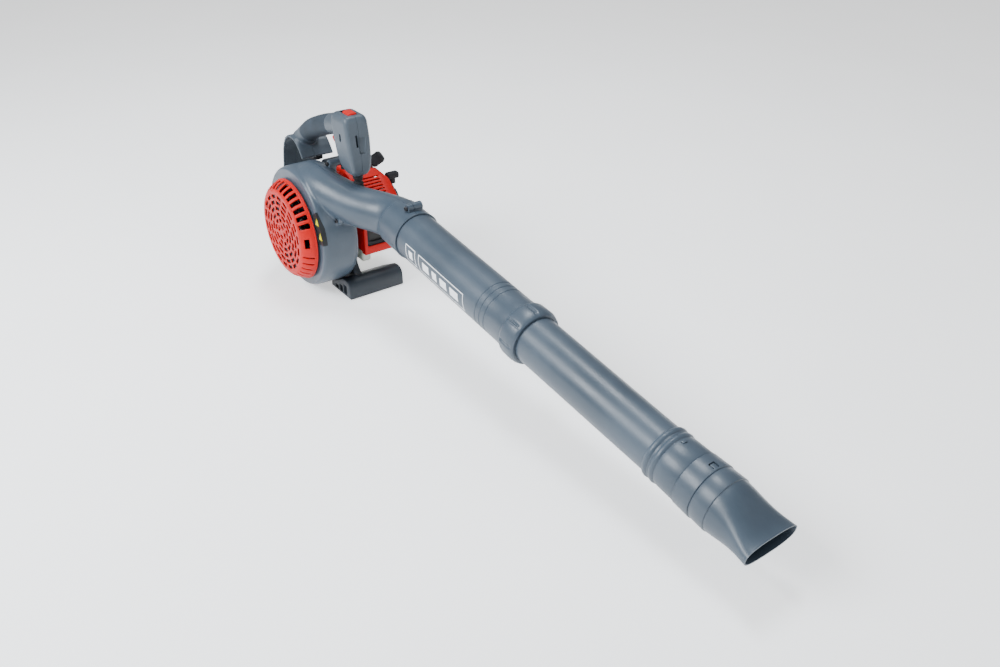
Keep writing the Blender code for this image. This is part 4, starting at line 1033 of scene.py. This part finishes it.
def trigger():
    outline = [(-4, 3), (-3, -4), (-5, -14), (-11, -19), (-19, -18), (-27, -13), (-31, -9), (-28, -6),
               (-18, -4), (-10, 3)]
    px, pz = TRIGGER_PIVOT.x, TRIGGER_PIVOT.z
    shifted = [(x + px, z + pz) for x, z in outline]
    body = extruded("trigger_blade", shifted, HANDLE_Y - TRIGGER_HALF, HANDLE_Y + TRIGGER_HALF)
    half = LEFT * TRIGGER_HALF
    join(body, rod("hub", TRIGGER_PIVOT - half, TRIGGER_PIVOT + half, 5.2))
    cut(body, rod("pin_way", TRIGGER_PIVOT - LEFT * 10, TRIGGER_PIVOT + LEFT * 10, PIN_WAY))
    bevelled(body, 1.6, 4)
    piece(body, RED, "trigger", "red_plastic", "trigger")


def switch():
    """The sliding stop switch, with three notches across its top."""
    body = block("stop_switch_cap", (16, HANDLE_Y - 8, 312.4), (38.2, HANDLE_Y + 8, 326.5), 4, 5)
    for x in (22.0, 27.0, 32.0):
        cut(body, rod("notch", (x, HANDLE_Y - 10, 327.6), (x, HANDLE_Y + 10, 327.6), 1.7, 16))
    bevelled(body, 0.3, 2, 40)
    piece(body, RED, "stop_switch", "red_plastic", "stop_switch")


# ---------------------------------------------------------------- red cover
COVER_FRONT, COVER_BOTTOM, COVER_TOP = 14.0, 64.0, 203.0
COVER_LEFT, COVER_RIGHT = 62.0, -8.5
COVER_WALL = 2.4
HEAD_Z = CRANK_Z + 80.4
LOUVRES, LOUVRE_PITCH, LOUVRE_FALL = 6, 4.9, 0.81
WINDOW = ((-2.5, 79), (49, 146))


def cover_outline(inset):
    """The cover's front, sloping shoulder and top, as (x, z)."""
    return [(COVER_FRONT - inset, COVER_BOTTOM), (COVER_FRONT - inset, 158 - inset),
            (COVER_FRONT - 4 - inset, 164 - inset), (-22 - inset, 190 - inset),
            (-30 - inset, 198 - inset), (-42, COVER_TOP - inset), (-84, COVER_TOP - inset)]


def cover_slope(inset):
    """What the slope along the cover's upper left edge takes away."""
    low, high = 182 - inset, 44 - inset
    outline = [(COVER_LEFT - inset, low), (COVER_LEFT + 10, low), (COVER_LEFT + 10, COVER_TOP + 10),
               (high - 8, COVER_TOP + 10), (high, COVER_TOP - inset)]
    return extruded("slope", outline, -100, COVER_FRONT + 20, axis="X")


def window_backing():
    """The dark frame and heat shield seen behind the cover's window."""
    frame_ring = extruded("muffler_frame", rounded_outline((-4.1, 77.4), (50.6, 147.4), 5), 10.2, 11.4,
                          axis="X")
    cut(frame_ring, extruded("hole", rounded_outline((3, 86), (44, 141), 4), 0, 29, axis="X"))
    piece(frame_ring, BLACK, "machine", "black_rubber")
    shield = block("heat_shield", (7.0, -5.5, 74), (8.4, 58, 152), 0.4, 2)
    piece(shield, MUFFLER, "machine", "muffler_steel")


def cover():
    """The red engine cover, hollow, with louvres and a window for the muffler."""
    back = [(-84, 188), (-60, 186), (-40, 142), (-24, COVER_BOTTOM)]
    body = extruded("engine_cover_shell", cover_outline(0) + back, COVER_RIGHT, COVER_LEFT)
    cut(body, cover_slope(0))
    bevelled(body, 2.6, 4, 30)
    hollow = cover_outline(COVER_WALL)
    hollow[0] = (hollow[0][0], COVER_BOTTOM - 14)
    room = extruded("hollow", [*hollow, (-100, COVER_TOP - COVER_WALL), (-100, COVER_BOTTOM - 14)],
                    COVER_RIGHT + COVER_WALL, COVER_LEFT - COVER_WALL)
    cut(room, cover_slope(COVER_WALL))
    cut(body, room)
    cut(body, extruded("window", rounded_outline(*WINDOW, 4), 0, 30, axis="X"))
    plug = axis_frame((CRANK_X + 5, 35, HEAD_Z), Vector((0.35, 0.75, 0.56)), UP)
    cut(body, turned("boot_way", [(13, -4), (13, 50)], plug, 40))
    cut(body, turned("crank_way", [(29.6, -40), (29.6, 80)], CRANK, 64))
    for k in range(LOUVRES):
        x, z = -19.0 + LOUVRE_PITCH * k, 190.5 - LOUVRE_PITCH * LOUVRE_FALL * k
        lean = axis_frame((x, 20, z), Vector((0.63, 0, 0.77)), LEFT)
        cut(body, block("louvre", (-25, -1.2, -12), (25, 1.2, 12), 0.5, 2, lean))
    bevelled(body, 0.5, 2, 40)
    piece(body, RED, "machine", "red_plastic", "engine_cover")
    window_backing()


# ---------------------------------------------------------------- stand and tank
STAND_HALF_X, STAND_TOP_Z, STAND_REAR_Z = 35.5, 33.0, 9.0
BAR_FROM, BAR_TO = -54, 52
END_POCKETS = (-19.0, -4.0, 11.0)
TANK_WALL, TANK_NECK = 2.4, (-138, 60)


def stand():
    """The front bar, the upright web and the rear foot in one moulding."""
    front, top = STAND_HALF_X, STAND_TOP_Z
    outline = [(-front, 0), (front, 0), (front - 0.6, 19), (front - 2.4, 25.5), (front - 6, 30),
               (front - 11, 32.3), (front - 17, top), (front - 25, top - 0.8), (-front, STAND_REAR_Z)]
    bar = extruded("stand_moulding", outline, BAR_FROM, BAR_TO)
    bevelled(bar, 2.0, 3, 40)
    web = [(-195, 0), (30, 0), (29, 30), (20, 32), (12, 35.4), (6, 40.6), (1.6, 48), (-1.4, 57), (-4, 66),
           (-6, 76), (-60, 81), (-150, 81), (-195, 60)]
    join(bar, extruded("web", web, -30.3, -18))
    join(bar, block("rear_foot", (-195, BAR_FROM, 0), (-158, 30, 20), 3))
    cut(bar, drum_clearance())
    for x in END_POCKETS:
        pocket = rounded_outline((x, 4.5), (x + 11.5, 11 + (x + 19) * 0.36), 2, 3)
        cut(bar, extruded("end_pocket", pocket, -60, -36))
    cut(bar, extruded("web_window", rounded_outline((-140, 24), (-62, 66), 12), -40, -10))
    bevelled(bar, 0.5, 2, 40)
    piece(bar, DARK, "machine", "dark_plastic", "stand")


def fuel_tank():
    """The tank: its box, the low nose under the engine and the filler neck, all hollow."""
    low, high = Vector((-158, -13, 48)), Vector((-50, 58, 71))
    nose_low, nose_high = Vector((-70, -10, 48)), Vector((5, 8, 71))
    inset = Vector((TANK_WALL, TANK_WALL, TANK_WALL))
    neck_x, neck_z = TANK_NECK
    body = block("fuel_tank_shell", low, high, 7, 6)
    join(body, block("nose", nose_low, nose_high, 5, 5))
    join(body, rod("neck", (neck_x, 50, neck_z), (neck_x, 66, neck_z), 10, 48))
    cut(body, rod("mouth", (neck_x, 46, neck_z), (neck_x, 75, neck_z), 7.8, 48))
    cut(body, block("room", low + inset, high - inset, 5, 3))
    cut(body, block("nose_room", nose_low + inset, nose_high - inset, 3, 3))
    piece(body, TANK, "machine", "tank_plastic", "fuel_tank")


# ---------------------------------------------------------------- labels on the volute
LABEL_RADIUS, LABEL_FRONT = 94.4, -99.0
LABEL_FROM, LABEL_TO = 3.0, 35.0
LABEL_HALF_WIDTH, LABEL_STEPS = 6.8, 12
TRIANGLE_SIZE, TRIANGLE_OUT, TRIANGLE_TURNS = 6.2, 2.2, (26.5, 12.0)


def on_band(radius, degrees):
    """A place (x, z) on the flat band round the grille, degrees up from +X."""
    turn = math.radians(degrees)
    return CRANK_X + radius * math.cos(turn), CRANK_Z + radius * math.sin(turn)


def volute_labels():
    """A plain dark patch with two blank yellow triangles on the flat band beside the grille."""
    turns = [LABEL_FROM + (LABEL_TO - LABEL_FROM) * k / LABEL_STEPS for k in range(LABEL_STEPS + 1)]
    patch = [on_band(LABEL_RADIUS + LABEL_HALF_WIDTH, turn) for turn in turns]
    patch += [on_band(LABEL_RADIUS - LABEL_HALF_WIDTH, turn) for turn in reversed(turns)]
    made = extruded("label_patch", patch, LABEL_FRONT - 1.3, LABEL_FRONT + 7)
    piece(made, LABEL, "machine", "grey_plastic")
    side, foot = TRIANGLE_SIZE * 0.86, TRIANGLE_SIZE * 0.9
    for k, turn in enumerate(TRIANGLE_TURNS):
        x, z = on_band(LABEL_RADIUS + TRIANGLE_OUT, turn)
        corners = [(x, z + TRIANGLE_SIZE), (x + side, z - foot), (x - side, z - foot)]
        triangle = extruded(f"label_triangle_{k + 1}", corners, LABEL_FRONT - 1.8, LABEL_FRONT - 1.0)
        piece(triangle, YELLOW, "machine", "grey_plastic")


for build in (volute, grille, upper_tube, collar, lower_tube, nozzle, tube_stripes, handle, grip,
              trigger, switch, cover, stand, fuel_tank, volute_labels):
    build()
